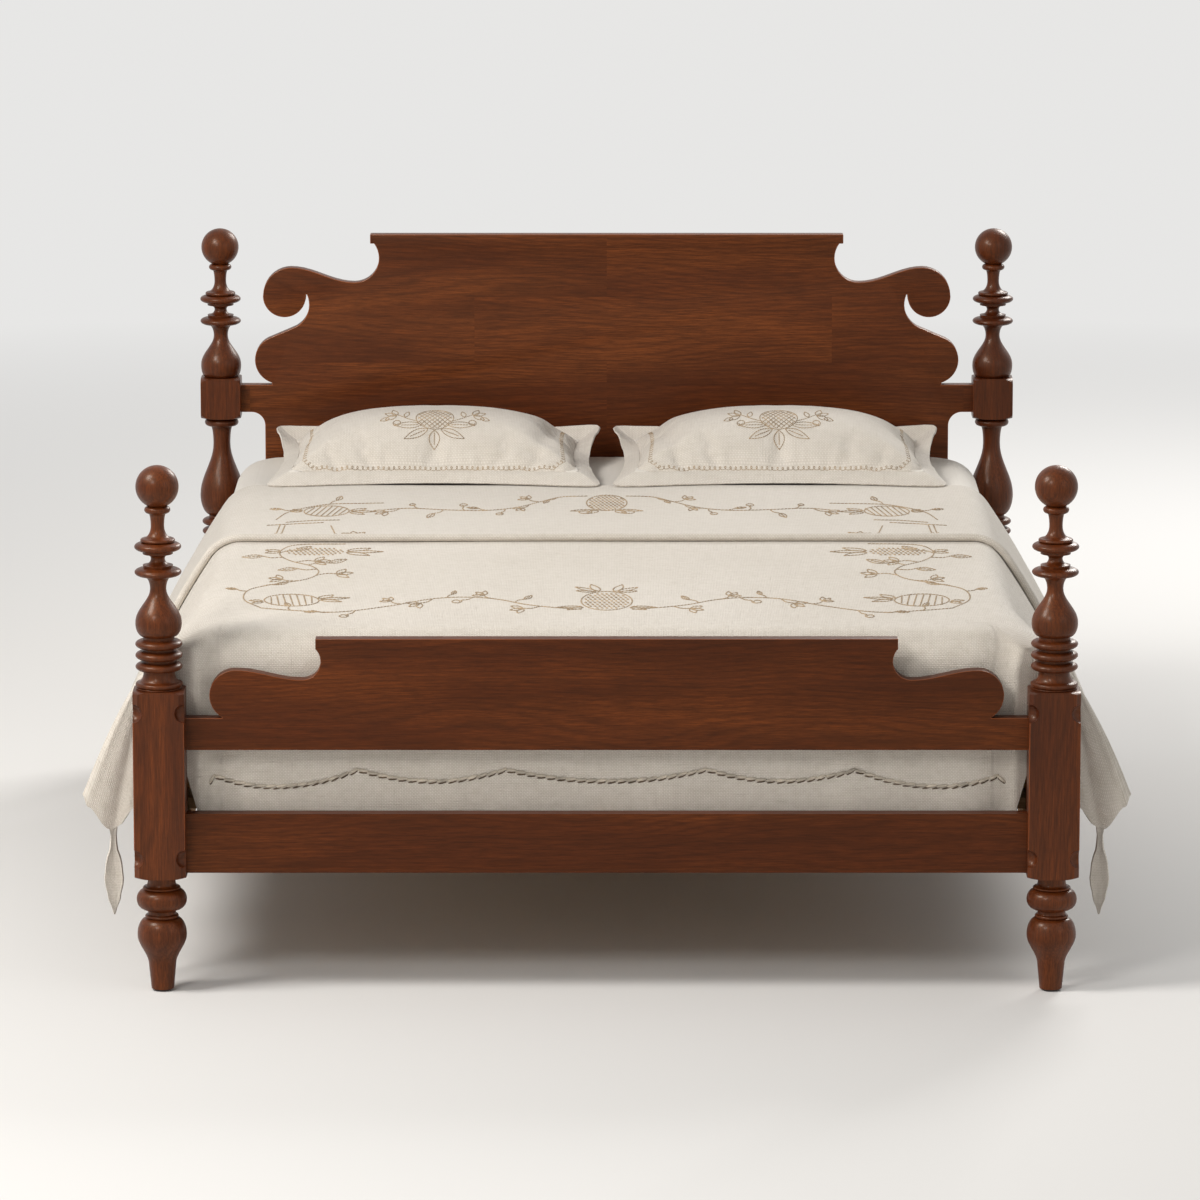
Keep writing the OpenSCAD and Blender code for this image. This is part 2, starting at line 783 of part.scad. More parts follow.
module slat(i) {
    color("#c89c6a")
    difference() {
        translate([-slat_half, slat_y(i) - slat_w / 2, slat_z])
            cube([2 * slat_half, slat_w, slat_t]);
        for (s = [-1, 1])
            translate([s * slat_screw_x, slat_y(i), slat_z + slat_t])
                screw_cut(slat_screw_l);
    }
}

module slat_screws() {
    color("#b9bbbd")
    for (i = [1 : slat_count], s = [-1, 1])
        translate([s * slat_screw_x, slat_y(i), slat_z + slat_t])
            screw(slat_screw_l);
}

// Centre beam, its two hangers and its leg
hanger_l = 45;
hanger_h = 52;
hanger_ear = 22;
hanger_screw_x = beam_w / 2 + plate_t + hanger_ear / 2;
hanger_mid = beam_z + hanger_h / 2;
hanger_screw_l = 20;
fork_h = 48;
fork_mid = beam_z + fork_h / 2;
beam_half = post_y - board_t / 2 - plate_t - joint_gap;

module beam_bolt_cut(x_half) {
    translate([-x_half - cut, 0, fork_mid])
        rotate([0, 90, 0])
            cylinder(r = bolt_r + screw_gap, h = 2 * (x_half + cut));
}

module centre_beam() {
    color("#c89c6a")
    difference() {
        translate([-beam_w / 2, -beam_half, beam_z])
            cube([beam_w, 2 * beam_half, beam_h - joint_gap]);
        beam_bolt_cut(beam_w / 2);
    }
}

module centre_leg() {
    color("#b98d5f")
    difference() {
        translate([-leg_w / 2, -leg_w / 2, glide_h])
            cube([leg_w, leg_w, beam_z + fork_h - glide_h]);
        translate([-beam_w / 2 - joint_gap, -leg_w / 2 - cut, beam_z - joint_gap])
            cube([beam_w + 2 * joint_gap, leg_w + 2 * cut, fork_h + cut]);
        beam_bolt_cut(leg_w / 2);
        nail_cut();
    }
}

module centre_leg_bolt() {
    color("#8f9294") {
        translate([-leg_w / 2 - 4, 0, fork_mid])
            rotate([0, 90, 0])
                cylinder(r = 2.2 * bolt_r, h = 4);
        translate([-leg_w / 2, 0, fork_mid])
            rotate([0, 90, 0])
                cylinder(r = bolt_r, h = leg_w + 9);
        difference() {
            translate([leg_w / 2, 0, fork_mid])
                rotate([0, 90, 0])
                    cylinder(r = 1.9 * bolt_r, h = 6, $fn = 6);
            translate([leg_w / 2 - cut, 0, fork_mid])
                rotate([0, 90, 0])
                    cylinder(r = bolt_r + screw_gap, h = 6 + 2 * cut);
        }
    }
}

// Places for a hanger's two screws at the head end, or at the foot end where end is -1
module hanger_places(end) {
    for (s = [-1, 1])
        translate([s * hanger_screw_x, end * (post_y - board_t / 2 - plate_t), hanger_mid])
            rotate([end * 90, 0, 0])
                children();
}

module hanger_holes(end) {
    hanger_places(end)
        translate([0, 0, -hanger_screw_l - 1])
            cylinder(r = screw_r + screw_gap, h = hanger_screw_l + cut);
}

// A folded steel hanger that carries one end of the beam
module beam_hanger(end) {
    wide = beam_w + 2 * (plate_t + hanger_ear + joint_gap);
    inner = beam_w + 2 * joint_gap;
    back = post_y - board_t / 2 - plate_t;
    color("#8f9294")
    difference() {
        mirror([0, end > 0 ? 0 : 1, 0])
            union() {
                translate([-wide / 2, back, beam_z - plate_t])
                    cube([wide, plate_t, hanger_h + plate_t]);
                difference() {
                    translate([-inner / 2 - plate_t, back - hanger_l, beam_z - plate_t])
                        cube([inner + 2 * plate_t, hanger_l + 1, hanger_h + plate_t]);
                    translate([-inner / 2, back - hanger_l - cut, beam_z])
                        cube([inner, hanger_l + cut, hanger_h + cut]);
                }
            }
        hanger_places(end)
            screw_cut(hanger_screw_l);
    }
}

module hanger_screws() {
    color("#b9bbbd")
    for (end = [-1, 1])
        hanger_places(end)
            screw(hanger_screw_l);
}

// A nail-on glide, drawn at the origin
module glide() {
    color("#2b2724") {
        cylinder(r = glide_r, h = glide_h);
        cylinder(r = nail_r, h = glide_h + nail_l);
    }
}

// Mattress and bedding. A cloth follows the mattress at a distance off that its layer sets:
// it runs level over the top, rounds the edge, and bends on towards plumb as it hangs.
level_x = mattress_w / 2 - mattress_edge_r;
level_y = mattress_l / 2 - mattress_edge_r;
fold_r = mattress_edge_r + skin;
side_turn = 56;
side_bend = 13.8;
corner_reach = 260;
corner_flare = 46;
corner_rise = 34;
foot_spread = 28;
foot_bend = 0.25;
fold_pitch = 330;
fold_depth = 11;
foot_hem_z = slat_z + 5;
foot_drop = cloth_z - fold_r - foot_hem_z;
band_off = coverlet_t + soft_gap;
side_arcs = 3;
foot_arcs = 5;

// Where a cloth is past the level top: at share t of rounding the edge, or after s of its drop.
// Points on the round lie just outside it, so that the flats between them clear the sheet.
function section(level, turn, bend, drop, t, s, arcs, off) =
    let (a = turn * min(1, t), b = turn + bend * s / drop, r = 180 / PI * drop / bend,
         round_r = (fold_r + off) / (t > 0 ? cos(turn / arcs / 2) : 1))
    t < 1 ? [level + round_r * sin(a), round_r * cos(a) - fold_r]
    : [level + fold_r * sin(turn) + r * (sin(b) - sin(turn)) + off * sin(b),
       fold_r * (cos(turn) - 1) - r * (cos(turn) - cos(b)) + off * cos(b)];

// How near a place is to the coverlet's foot corners, from 0 to 1
function cornered(y) = pow(max(0, 1 - (y + level_y) / corner_reach), 1.5);

// A point on a cloth. The column says how far to the side: 1 where the edge begins to round,
// 2 where the drop begins, and 3 at the hem. The row is [y, share of rounding, drop, turn],
// with the middle two for the foot and the last for the corners.
function cloth_point(column, row, off) =
    row[3] > 0 && abs(column) > 2 ? corner_point(column, row[3], off) :
    let (side = abs(column), hand = column < 0 ? -1 : 1, y = row[0],
         near = cornered(y), hang = min(1, max(0, side - 2)), past = min(1, max(0, side - 1)),
         o = off + hang * fold_depth * (1 + sin(360 * y / fold_pitch)) / 2,
         e = section(level_x, side_turn, side_bend, side_drop, past,
             hang * (side_drop - corner_rise * near), side_arcs, o),
         f = section(level_y, 90, foot_bend, foot_drop, row[1], row[2], foot_arcs, off))
    [hand * (side < 1 ? side * level_x : e[0] + corner_flare * near * past * past * (1 - 0.3 * hang))
        + column * foot_spread * row[1],
     row[1] > 0 ? -f[0] : y - corner_shift * past * near,
     cloth_z + e[1] + f[1] - off];

// At the foot corners the side drop turns in behind the post, in four steps. Each step has its
// share of the way in and the height of its hem above the hem beside it.
post_room = 12.5;
rail_room = 10;
corner_round = 6.5;
least_turn = 8;
turn_steps = [[0.06, -20], [0.3, -56], [0.57, -44], [1, 14]];
corner_y = face_y - post_room;
corner_shift = corner_y - corner_round - level_y;
turned_in_x = rail_x + board_t / 2 + rail_room;
function corner_point(column, turn, off) =
    let (hand = column < 0 ? -1 : 1, side = min(3, abs(column)), hang = side - 2,
         step = turn_steps[min(turn, 4) - 1], edge = cloth_point(side, last_row, off),
         way = max(least_turn, edge[0] - turned_in_x))
    abs(column) > 3 ? tail_point(column, turn, off)
    : [hand * (edge[0] - way * step[0]), -corner_y - off, edge[2] + hang * hang * step[1]];

// A pointed tail hangs from the lowest stretch of each corner's hem. It is narrow at its root,
// widens to a leaf and ends in a point. Its stations are [share of length, half width].
tail_stations = [[0.08, 3.5], [0.6, 17], [1, 2]];
function tail_point(column, turn, off) =
    let (hand = column < 0 ? -1 : 1, station = tail_stations[round((abs(column) - 3) * 3) - 1],
         outer = corner_point(3, 2, off), inner = corner_point(3, 3, off),
         side = turn < 3 ? 1 : -1)
    [hand * ((outer[0] + inner[0]) / 2 + side * station[1]), outer[1],
     (outer[2] + inner[2]) / 2 - tail_l * station[0]];

// Columns of a cloth from tail to tail, and the first and last of those that drop at the foot
tail_columns = [for (i = [3 : -1 : 1]) 3 + i / 3];
side_columns = concat([for (i = [4 : -1 : 1]) 2 + i / 4],
    [for (i = [side_arcs : -1 : 1]) 1 + (i - 0.5) / side_arcs]);
top_columns = [for (i = [-3 : 3]) i / 4];
left_columns = concat(tail_columns, side_columns);
columns = concat(-left_columns, top_columns,
    [for (i = [len(left_columns) - 1 : -1 : 0]) left_columns[i]]);
first_top = len(left_columns) - 1;
last_top = len(columns) - 1 - first_top;

// Middle of the left-hand pillow, mirrored, and of both pillows along the bed
between_pillows = 28;
behind_pillows = 49;
pillow_x = (between_pillows + sham_w) / 2;
pillow_y = post_y - board_t / 2 - behind_pillows - sham_l / 2;

// Rows of the band, the rest of the coverlet's top, and its drop at the foot
head_edge_y = coverlet_l - mattress_l / 2;
fold_y = head_edge_y - band_l;
band_rows = [for (i = [0 : 9]) [head_edge_y - band_l * i / 9, 0, 0, 0]];
top_rows = [for (i = [1 : 13]) [fold_y - (fold_y + level_y) * i / 13, 0, 0, 0]];
last_row = top_rows[len(top_rows) - 1];
foot_rows = concat([for (i = [1 : foot_arcs]) [-level_y, (i - 0.5) / foot_arcs, 0, i]],
    [for (i = [1 : 3]) [-level_y, 1, foot_drop * i / 3, foot_arcs + i]]);

// A solid between two grids of points, each n points to a row. The spare columns at both ends
// span only the tail. The rows from narrow_from on span the columns from first to last, and at
// the corners the outermost turned columns.
module grid_solid(outer, inner, n, spare = 0, narrow_from = 1000, first = 0, last = 1000) {
    m = len(outer) / n;
    turned = spare + 3;
    function held(i, j) = i >= 0 && j >= 0 && i < m - 1 && j < n - 1
        && (min(j, n - 2 - j) < spare ? i == narrow_from + 2
            : i < narrow_from || (j >= first && j < last)
                || (min(j, n - 2 - j) < turned && i < narrow_from + len(turn_steps)));
    function out(i, j) = i * n + j;
    function in(i, j) = (m + i) * n + j;
    function two(a, b, c, d) = [[a, b, c], [a, c, d]];
    faces = [for (i = [0 : m - 2], j = [0 : n - 2]) if (held(i, j)) each concat(
        two(out(i, j), out(i, j + 1), out(i + 1, j + 1), out(i + 1, j)),
        two(in(i, j), in(i + 1, j), in(i + 1, j + 1), in(i, j + 1)),
        held(i - 1, j) ? [] : two(in(i, j), in(i, j + 1), out(i, j + 1), out(i, j)),
        held(i + 1, j) ? []
            : two(out(i + 1, j), out(i + 1, j + 1), in(i + 1, j + 1), in(i + 1, j)),
        held(i, j - 1) ? [] : two(out(i, j), out(i + 1, j), in(i + 1, j), in(i, j)),
        held(i, j + 1) ? []
            : two(in(i, j + 1), in(i + 1, j + 1), out(i + 1, j + 1), out(i, j + 1)))];
    polyhedron(points = concat(outer, inner), faces = faces);
}

// A cloth of one layer with its rows, from off to off + thick over the bed
module cloth(rows, off, thick, narrow_from = 1000) {
    grid_solid(
        [for (r = rows, c = columns) cloth_point(c, r, off + thick)],
        [for (r = rows, c = columns) cloth_point(c, r, off)],
        len(columns), len(tail_columns), narrow_from, first_top, last_top);
}

module coverlet() {
    color("#e9e0cf")
    cloth(concat(band_rows, top_rows, foot_rows), 0, coverlet_t,
        len(band_rows) + len(top_rows) - 1);
}

module top_sheet() {
    color("#ece4d4")
    cloth(band_rows, band_off, band_t);
}

// A mattress shape, grown on all sides
pad_facets = 24;
module mattress_shape(grow) {
    r = mattress_edge_r + grow;
    in_r = mattress_corner_r - mattress_edge_r;
    hull()
        for (x = [-1, 1], y = [-1, 1])
            translate([x * (mattress_w / 2 - mattress_corner_r),
                       y * (mattress_l / 2 - mattress_corner_r), 0])
                rotate_extrude($fn = pad_facets)
                    polygon(concat([[0, mattress_z - grow]],
                        [for (a = [-90 : 18 : 0])
                            [in_r + r * cos(a), mattress_z + mattress_edge_r + r * sin(a)]],
                        [for (a = [0 : 18 : 90])
                            [in_r + r * cos(a), mattress_top - mattress_edge_r + r * sin(a)]],
                        [[0, mattress_top + grow]]));
}

module mattress() {
    color("#f2efe8")
    mattress_shape(0);
}

// The sheet covers the mattress's top and sides, down to a hem above the rails
sheet_hem = 70;
module fitted_sheet() {
    color("#f4f0e7")
    difference() {
        mattress_shape(soft_gap + sheet_t);
        mattress_shape(soft_gap);
        translate([-mattress_w, -mattress_l, mattress_z - mattress_edge_r])
            cube([2 * mattress_w, 2 * mattress_l, mattress_edge_r + sheet_hem]);
    }
}

// Pillows: a cushion whose sides draw in between its corners, on [x, y] shares from -1 to 1
pillow_down = 36;
draw_in = 0.035;
seam_t = 0.8;
across = 12;
along = 8;
function drawn(a, b, u, v) =
    [a * u * (1 - draw_in * u * u * (1 - v * v)), b * v * (1 - 2 * draw_in * v * v * (1 - u * u))];
function crown(u, v) = pow(max(0, (1 - pow(abs(u), 3)) * (1 - pow(abs(v), 3))), 0.6);
function cushion_points(a, b, rise, full) =
    [for (i = [along : -1 : 0], j = [0 : across])
        let (u = sin(180 * j / across - 90), v = sin(180 * i / along - 90), p = drawn(a, b, u, v))
            [p[0], p[1], rise * min(1, full * crown(u, v)) + (rise > 0 ? seam_t : -seam_t) / 2]];

// A crowned cushion inside the sham, grown on all sides. Its underside is flat where it rests.
module cushion(grow) {
    a = sham_w / 2 - flange + grow;
    b = sham_l / 2 - flange + grow;
    grid_solid(cushion_points(a, b, pillow_h - pillow_down - sham_t - soft_gap + grow, 1),
        cushion_points(a, b, -(pillow_down - sham_t - soft_gap + grow), 1.6), across + 1);
}

// The flat flange round the sham, with its corners drawn out
module sham_flange() {
    n = 8;
    a = sham_w / 2;
    b = sham_l / 2;
    edge = [for (k = [-n : n - 1]) k / n];
    translate([0, 0, -sham_t])
        linear_extrude(2 * sham_t)
            polygon(concat([for (t = edge) drawn(a, b, t, -1)], [for (t = edge) drawn(a, b, 1, t)],
                [for (t = edge) drawn(a, b, -t, 1)], [for (t = edge) drawn(a, b, -1, -t)]));
}

module sham() {
    color("#ebe3d3")
    difference() {
        union() {
            cushion(soft_gap + sham_t);
            sham_flange();
        }
        cushion(soft_gap);
    }
}

module pillow() {
    color("#f6f3ec")
    cushion(0);
}

// Puts a foot-left drawing at one of the four posts
module at_post(side, end) {
    translate([side * post_x, end * post_y, 0])
        mirror([side > 0 ? 1 : 0, 0, 0])
            mirror([0, end > 0 ? 1 : 0, 0])
                children();
}

// Puts a drawing of the +X side on either side
module on_side(side) {
    mirror([side > 0 ? 0 : 1, 0, 0])
        children();
}

module at_pillow(side) {
    translate([side * pillow_x, pillow_y, cloth_z + pillow_down + seam_t / 2])
        children();
}

at_post(-1, 1) head_post();  // head_post_left
at_post(1, 1) head_post();  // head_post_right
at_post(-1, -1) foot_post();  // foot_post_left
at_post(1, -1) foot_post();  // foot_post_right
at_post(-1, 1) finial(head_seat);  // head_finial_left
at_post(1, 1) finial(head_seat);  // head_finial_right
at_post(-1, -1) finial(foot_seat);  // foot_finial_left
at_post(1, -1) finial(foot_seat);  // foot_finial_right
headboard();
head_rail();
footboard();
foot_rail();
on_side(-1) side_rail();  // side_rail_left
on_side(1) side_rail();  // side_rail_right
on_side(-1) slat_ledge();  // slat_ledge_left
on_side(1) slat_ledge();  // slat_ledge_right
centre_beam();
centre_leg();
centre_leg_bolt();
beam_hanger(1);  // beam_hanger_head
beam_hanger(-1);  // beam_hanger_foot
at_corner(-1, 1) rail_hook();  // rail_hook_head_left
at_corner(1, 1) rail_hook();  // rail_hook_head_right
at_corner(-1, -1) rail_hook();  // rail_hook_foot_left
at_corner(1, -1) rail_hook();  // rail_hook_foot_right
at_corner(-1, 1) post_plate();  // post_plate_head_left
at_corner(1, 1) post_plate();  // post_plate_head_right
at_corner(-1, -1) post_plate();  // post_plate_foot_left
at_corner(1, -1) post_plate();  // post_plate_foot_right
plate_screws();
ledge_screws();
slat_screws();
hanger_screws();
at_post(-1, 1) glide();  // glide_head_left
at_post(1, 1) glide();  // glide_head_right
at_post(-1, -1) glide();  // glide_foot_left
at_post(1, -1) glide();  // glide_foot_right
glide();  // centre_leg_glide
mattress();
fitted_sheet();
coverlet();
top_sheet();
at_pillow(-1) pillow();  // pillow_left
at_pillow(1) pillow();  // pillow_right
at_pillow(-1) sham();  // sham_left
at_pillow(1) sham();  // sham_right
for (i = [1 : slat_count])
    slat(i);
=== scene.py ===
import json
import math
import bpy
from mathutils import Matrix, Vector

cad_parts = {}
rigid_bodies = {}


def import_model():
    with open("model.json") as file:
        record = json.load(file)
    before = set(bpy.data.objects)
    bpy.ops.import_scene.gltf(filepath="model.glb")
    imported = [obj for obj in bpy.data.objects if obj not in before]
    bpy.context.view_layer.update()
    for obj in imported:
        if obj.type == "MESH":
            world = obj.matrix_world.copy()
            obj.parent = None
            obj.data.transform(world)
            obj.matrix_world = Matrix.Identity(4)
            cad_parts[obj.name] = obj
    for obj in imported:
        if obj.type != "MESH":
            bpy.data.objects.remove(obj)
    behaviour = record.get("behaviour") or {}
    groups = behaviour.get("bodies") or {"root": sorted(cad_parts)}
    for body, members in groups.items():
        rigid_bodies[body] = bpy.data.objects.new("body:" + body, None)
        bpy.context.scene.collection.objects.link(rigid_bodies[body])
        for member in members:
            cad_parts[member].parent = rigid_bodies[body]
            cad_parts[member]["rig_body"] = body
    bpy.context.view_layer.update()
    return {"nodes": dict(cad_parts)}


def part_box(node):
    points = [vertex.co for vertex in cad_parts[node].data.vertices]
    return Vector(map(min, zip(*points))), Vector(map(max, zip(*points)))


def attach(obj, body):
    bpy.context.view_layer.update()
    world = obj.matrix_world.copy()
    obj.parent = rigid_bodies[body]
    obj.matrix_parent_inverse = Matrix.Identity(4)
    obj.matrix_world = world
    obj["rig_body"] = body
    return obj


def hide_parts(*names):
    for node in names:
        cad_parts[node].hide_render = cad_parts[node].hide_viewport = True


bl_info = {
    "name": "Turned post bed",
    "version": (1, 0, 0),
    "blender": (4, 5, 0),
    "location": "3D View > Sidebar > Bed",
    "description": "Dresses a turned post bed with its wood, fittings, bedding and embroidery",
    "category": "Object",
}

import bmesh
import bpy
import numpy as np
from bpy.props import FloatProperty, FloatVectorProperty, IntProperty, PointerProperty
from mathutils import Vector
from mathutils.bvhtree import BVHTree

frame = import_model()

SIDES = (("left", -1), ("right", 1))
ENDS = (("head", 1), ("foot", -1))


def length_setting(name, description, default):
    return FloatProperty(name=name, description=description, default=default, unit="LENGTH")


def angle_setting(name, description, degrees):
    return FloatProperty(name=name, description=description, default=math.radians(degrees), subtype="ANGLE")


def colour_setting(name, description, *default):
    return FloatVectorProperty(name=name, description=description, default=default, size=3, subtype="COLOR")


class BedCamera(bpy.types.PropertyGroup):
    """Where the bed is looked at from."""

    place: FloatVectorProperty(
        name="Place", description="Place of the camera", default=(0, -13.388, 3.001), subtype="XYZ"
    )
    tilt: angle_setting("Tilt", "Turn of the camera from straight down", 79.5)
    lens: FloatProperty(name="Lens", description="Focal length", default=211.0, unit="CAMERA")
    shift: FloatProperty(name="Shift", description="Sideways shift of the picture", default=-0.0056)


class BedWood(bpy.types.PropertyGroup):
    """Colours and edges of the wooden pieces."""

    dark: colour_setting("Dark", "Colour of the growth lines and pores", 0.027, 0.0058, 0.0024)
    middle: colour_setting("Middle", "Main colour of the stained wood", 0.118, 0.0270, 0.0070)
    light: colour_setting("Light", "Colour of the wood's orange patches", 0.240, 0.064, 0.0150)
    base_dark: colour_setting("Base dark", "Growth lines of the slatted base's plain wood", 0.30, 0.17, 0.08)
    base_light: colour_setting("Base light", "Main colour of the slatted base's plain wood", 0.58, 0.39, 0.22)
    board_ease: length_setting("Board edges", "Width of the eased edges of boards and rails", 0.0028)
    block_ease: length_setting("Block edges", "Width of the eased edges of the posts' blocks", 0.0016)
    base_ease: length_setting("Base edges", "Width of the eased edges of the slatted base", 0.002)


class BedCloth(bpy.types.PropertyGroup):
    """Colours and weave of the bedding."""

    linen: colour_setting("Linen", "Colour of the coverlet, band and shams", 0.785, 0.737, 0.676)
    cotton: colour_setting("Cotton", "Colour of the fitted sheet and pillows", 0.80, 0.76, 0.70)
    ticking: colour_setting("Ticking", "Colour of the mattress's cover", 0.70, 0.67, 0.60)
    thread: colour_setting("Thread", "Colour of the embroidery thread", 0.40, 0.290, 0.175)
    knots: colour_setting("Knots", "Colour of the paler thread that fills the fruits", 0.46, 0.345, 0.225)
    rope: colour_setting("Border", "Colour of the thick couched border on the foot drop", 0.62, 0.55, 0.45)
    # A dark row of stitches under the couched border stands in for the border's shadow: painted shadow.
    rope_shadow: colour_setting("Ties", "Colour of the painted shadow under the couched border", 0.13, 0.09, 0.055)
    weave: length_setting("Weave", "Distance from thread to thread", 0.0030)


class BedStitch(bpy.types.PropertyGroup):
    """Size of the embroidery stitches."""

    length: length_setting("Length", "Length of a stitch", 0.0075)
    width: length_setting("Width", "Width of a stitch", 0.0026)
    height: length_setting("Height", "Thickness of a stitch", 0.0026)
    slant: angle_setting("Slant", "Turn of each stitch against its line", 11)


class BedPillow(bpy.types.PropertyGroup):
    """How the pillows are filled."""

    pressure: FloatProperty(name="Pressure", description="Pressure of the filling", default=5.0)
    start: FloatProperty(
        name="Start", description="Share of its height at which a pillow starts to fill",
        default=0.8, subtype="FACTOR"
    )
    steps: IntProperty(name="Steps", description="Frames of the simulation", default=22)
    reach: length_setting("Reach", "How far a point of a pillow may move while it fills", 0.022)


def settings(name):
    return getattr(bpy.context.scene, "turned_bed_" + name)


# Helpers for objects and meshes

def pick(*objects):
    """Selects only these objects and makes the first one active."""
    bpy.ops.object.select_all(action="DESELECT")
    for obj in objects:
        obj.select_set(True)
    bpy.context.view_layer.objects.active = objects[0]


def apply_modifiers(obj):
    pick(obj)
    for modifier in list(obj.modifiers):
        bpy.ops.object.modifier_apply(modifier=modifier.name)


def added(name, data):
    """A new object of the scene."""
    obj = bpy.data.objects.new(name, data)
    bpy.context.scene.collection.objects.link(obj)
    return obj


def give(obj, *materials):
    """Gives an object these materials and no others."""
    obj.data.materials.clear()
    for material in materials:
        obj.data.materials.append(material)


def made_object(name, points, faces, marks=None):
    """An object from points and faces, with a UV map where marks gives each point's place."""
    mesh = bpy.data.meshes.new(name)
    mesh.from_pydata([tuple(p) for p in points], [], faces)
    mesh.update()
    if marks is not None:
        layer = mesh.uv_layers.new(name="Cloth")
        index = np.zeros(len(mesh.loops), np.int32)
        mesh.loops.foreach_get("vertex_index", index)
        layer.data.foreach_set("uv", np.array(marks, np.float32)[index].ravel())
    return added(name, mesh)


def outward(obj, merge=True):
    """Turns every face outwards, and first merges points that lie on one another."""
    pick(obj)
    bpy.ops.object.mode_set(mode="EDIT")
    bpy.ops.mesh.select_all(action="SELECT")
    if merge:
        bpy.ops.mesh.remove_doubles(threshold=0.00002)
    bpy.ops.mesh.normals_make_consistent(inside=False)
    bpy.ops.object.mode_set(mode="OBJECT")


def thicken(obj, thickness, offset, even=False):
    """Gives a surface its thickness: inwards of it at -1, half to each side at 0."""
    solid = obj.modifiers.new("Cloth thickness", "SOLIDIFY")
    solid.thickness = thickness
    solid.offset = offset
    solid.use_even_offset = even
    apply_modifiers(obj)


def shade_smooth(obj, angle):
    pick(obj)
    bpy.ops.object.shade_smooth_by_angle(angle=math.radians(angle))


def settle(obj, body, slot, *nodes):
    """Makes a finished piece ride on its body and stand for its nodes."""
    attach(obj, body)
    if nodes:
        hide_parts(*nodes)
    return obj


def points_of(obj):
    points = np.zeros(len(obj.data.vertices) * 3, np.float32)
    obj.data.vertices.foreach_get("co", points)
    return points.reshape(-1, 3).astype(float)


def set_points(obj, points):
    obj.data.vertices.foreach_set("co", points.astype(np.float32).ravel())
    obj.data.update()


def eased(edge, at_x=None, upright=False):
    """True for a sharp outer edge that a maker rounds off. at_x leaves out a joint's shoulders."""
    if len(edge.link_faces) != 2 or not edge.is_convex:
        return False
    if edge.calc_face_angle(0) < math.radians(35):
        return False
    a, b = (v.co for v in edge.verts)
    if upright:
        return abs(b.z - a.z) > 0.02 and (b - a).length - abs(b.z - a.z) < 0.0005
    return at_x is None or min(abs(a.x), abs(b.x)) < at_x - 0.0005


def dressed(node, materials, slot, ease=0.0, at_x=None, upright=False):
    """A copy of a node with its sharp edges eased. The eased faces take the second material."""
    obj = added(node + "_dressed", frame["nodes"][node].data.copy())
    pick(obj)
    if obj.data.has_custom_normals:
        bpy.ops.mesh.customdata_custom_splitnormals_clear()
    give(obj, *materials)
    bpy.ops.object.mode_set(mode="EDIT")
    bpy.ops.mesh.select_all(action="SELECT")
    bpy.ops.mesh.remove_doubles(threshold=0.00001)
    bpy.ops.mesh.dissolve_limited(angle_limit=math.radians(0.4))
    if ease:
        bpy.ops.mesh.select_mode(type="EDGE")
        bpy.ops.mesh.select_all(action="DESELECT")
        work = bmesh.from_edit_mesh(obj.data)
        for edge in work.edges:
            edge.select = eased(edge, at_x, upright)
        bmesh.update_edit_mesh(obj.data)
        bpy.ops.mesh.bevel(offset=ease, segments=3, clamp_overlap=True, material=1)
    bpy.ops.object.mode_set(mode="OBJECT")
    shade_smooth(obj, 32)
    return settle(obj, frame["nodes"][node]["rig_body"], slot, node)


# Helpers for materials

class Graph:
    """Adds and joins the nodes of one node tree."""

    def __init__(self, tree):
        self.tree = tree

    def fill(self, inputs, values):
        """Joins each named input to a socket or sets it to a value. A colour gets its fourth number."""
        for name, value in values.items():
            if isinstance(value, bpy.types.NodeSocket):
                self.tree.links.new(value, inputs[name])
            elif inputs[name].type == "RGBA":
                inputs[name].default_value = (*tuple(value)[:3], 1.0)
            else:
                inputs[name].default_value = value

    def add(self, kind, inputs=None, **values):
        """Adds a node and gives its outputs."""
        node = self.tree.nodes.new("ShaderNode" + kind)
        for name, value in values.items():
            setattr(node, name, value)
        self.fill(node.inputs, inputs or {})
        return node.outputs

    def group(self, name, inputs):
        return self.add("Group", inputs, node_tree=bpy.data.node_groups[name])

    def math(self, operation, a, b=0.0, clamp=False):
        return self.add("Math", {0: a, 1: b}, operation=operation, use_clamp=clamp)[0]

    def times(self, a, b):
        return self.math("MULTIPLY", a, b)

    def plus(self, a, b):
        return self.math("ADD", a, b)

    def grain(self, vector, stretch, detail=3.0, roughness=0.5, distortion=0.0):
        """Noise on a vector, with its own fineness along each axis."""
        return self.add("TexNoise", {
            "Vector": self.add("Mapping", {"Vector": vector, "Scale": stretch})[0], "Scale": 1.0,
            "Detail": detail, "Roughness": roughness, "Distortion": distortion,
        })["Fac"]

    def mix(self, share, a, b):
        return self.add("Mix", {0: share, 6: a, 7: b}, data_type="RGBA")[2]

    def between(self, value, low, high, to_low=0.0, to_high=1.0):
        return self.add("MapRange", {
            "Value": value, "From Min": low, "From Max": high, "To Min": to_low, "To Max": to_high,
        })[0]

    def place(self, name="Object"):
        return self.add("TexCoord")[name]

    def bump(self, height, strength, distance):
        return self.add("Bump", {"Height": height, "Strength": strength, "Distance": distance})[0]


def new_group(name, inputs, outputs):
    """A shader node group's graph, inputs and outputs."""
    tree = bpy.data.node_groups.new(name, "ShaderNodeTree")
    for label, kind, value in inputs:
        socket = tree.interface.new_socket(label, in_out="INPUT", socket_type="NodeSocket" + kind)
        socket.default_value = value
    for label, kind in outputs:
        tree.interface.new_socket(label, in_out="OUTPUT", socket_type="NodeSocket" + kind)
    source = tree.nodes.new("NodeGroupInput").outputs
    sink = tree.nodes.new("NodeGroupOutput").inputs
    return Graph(tree), source, sink


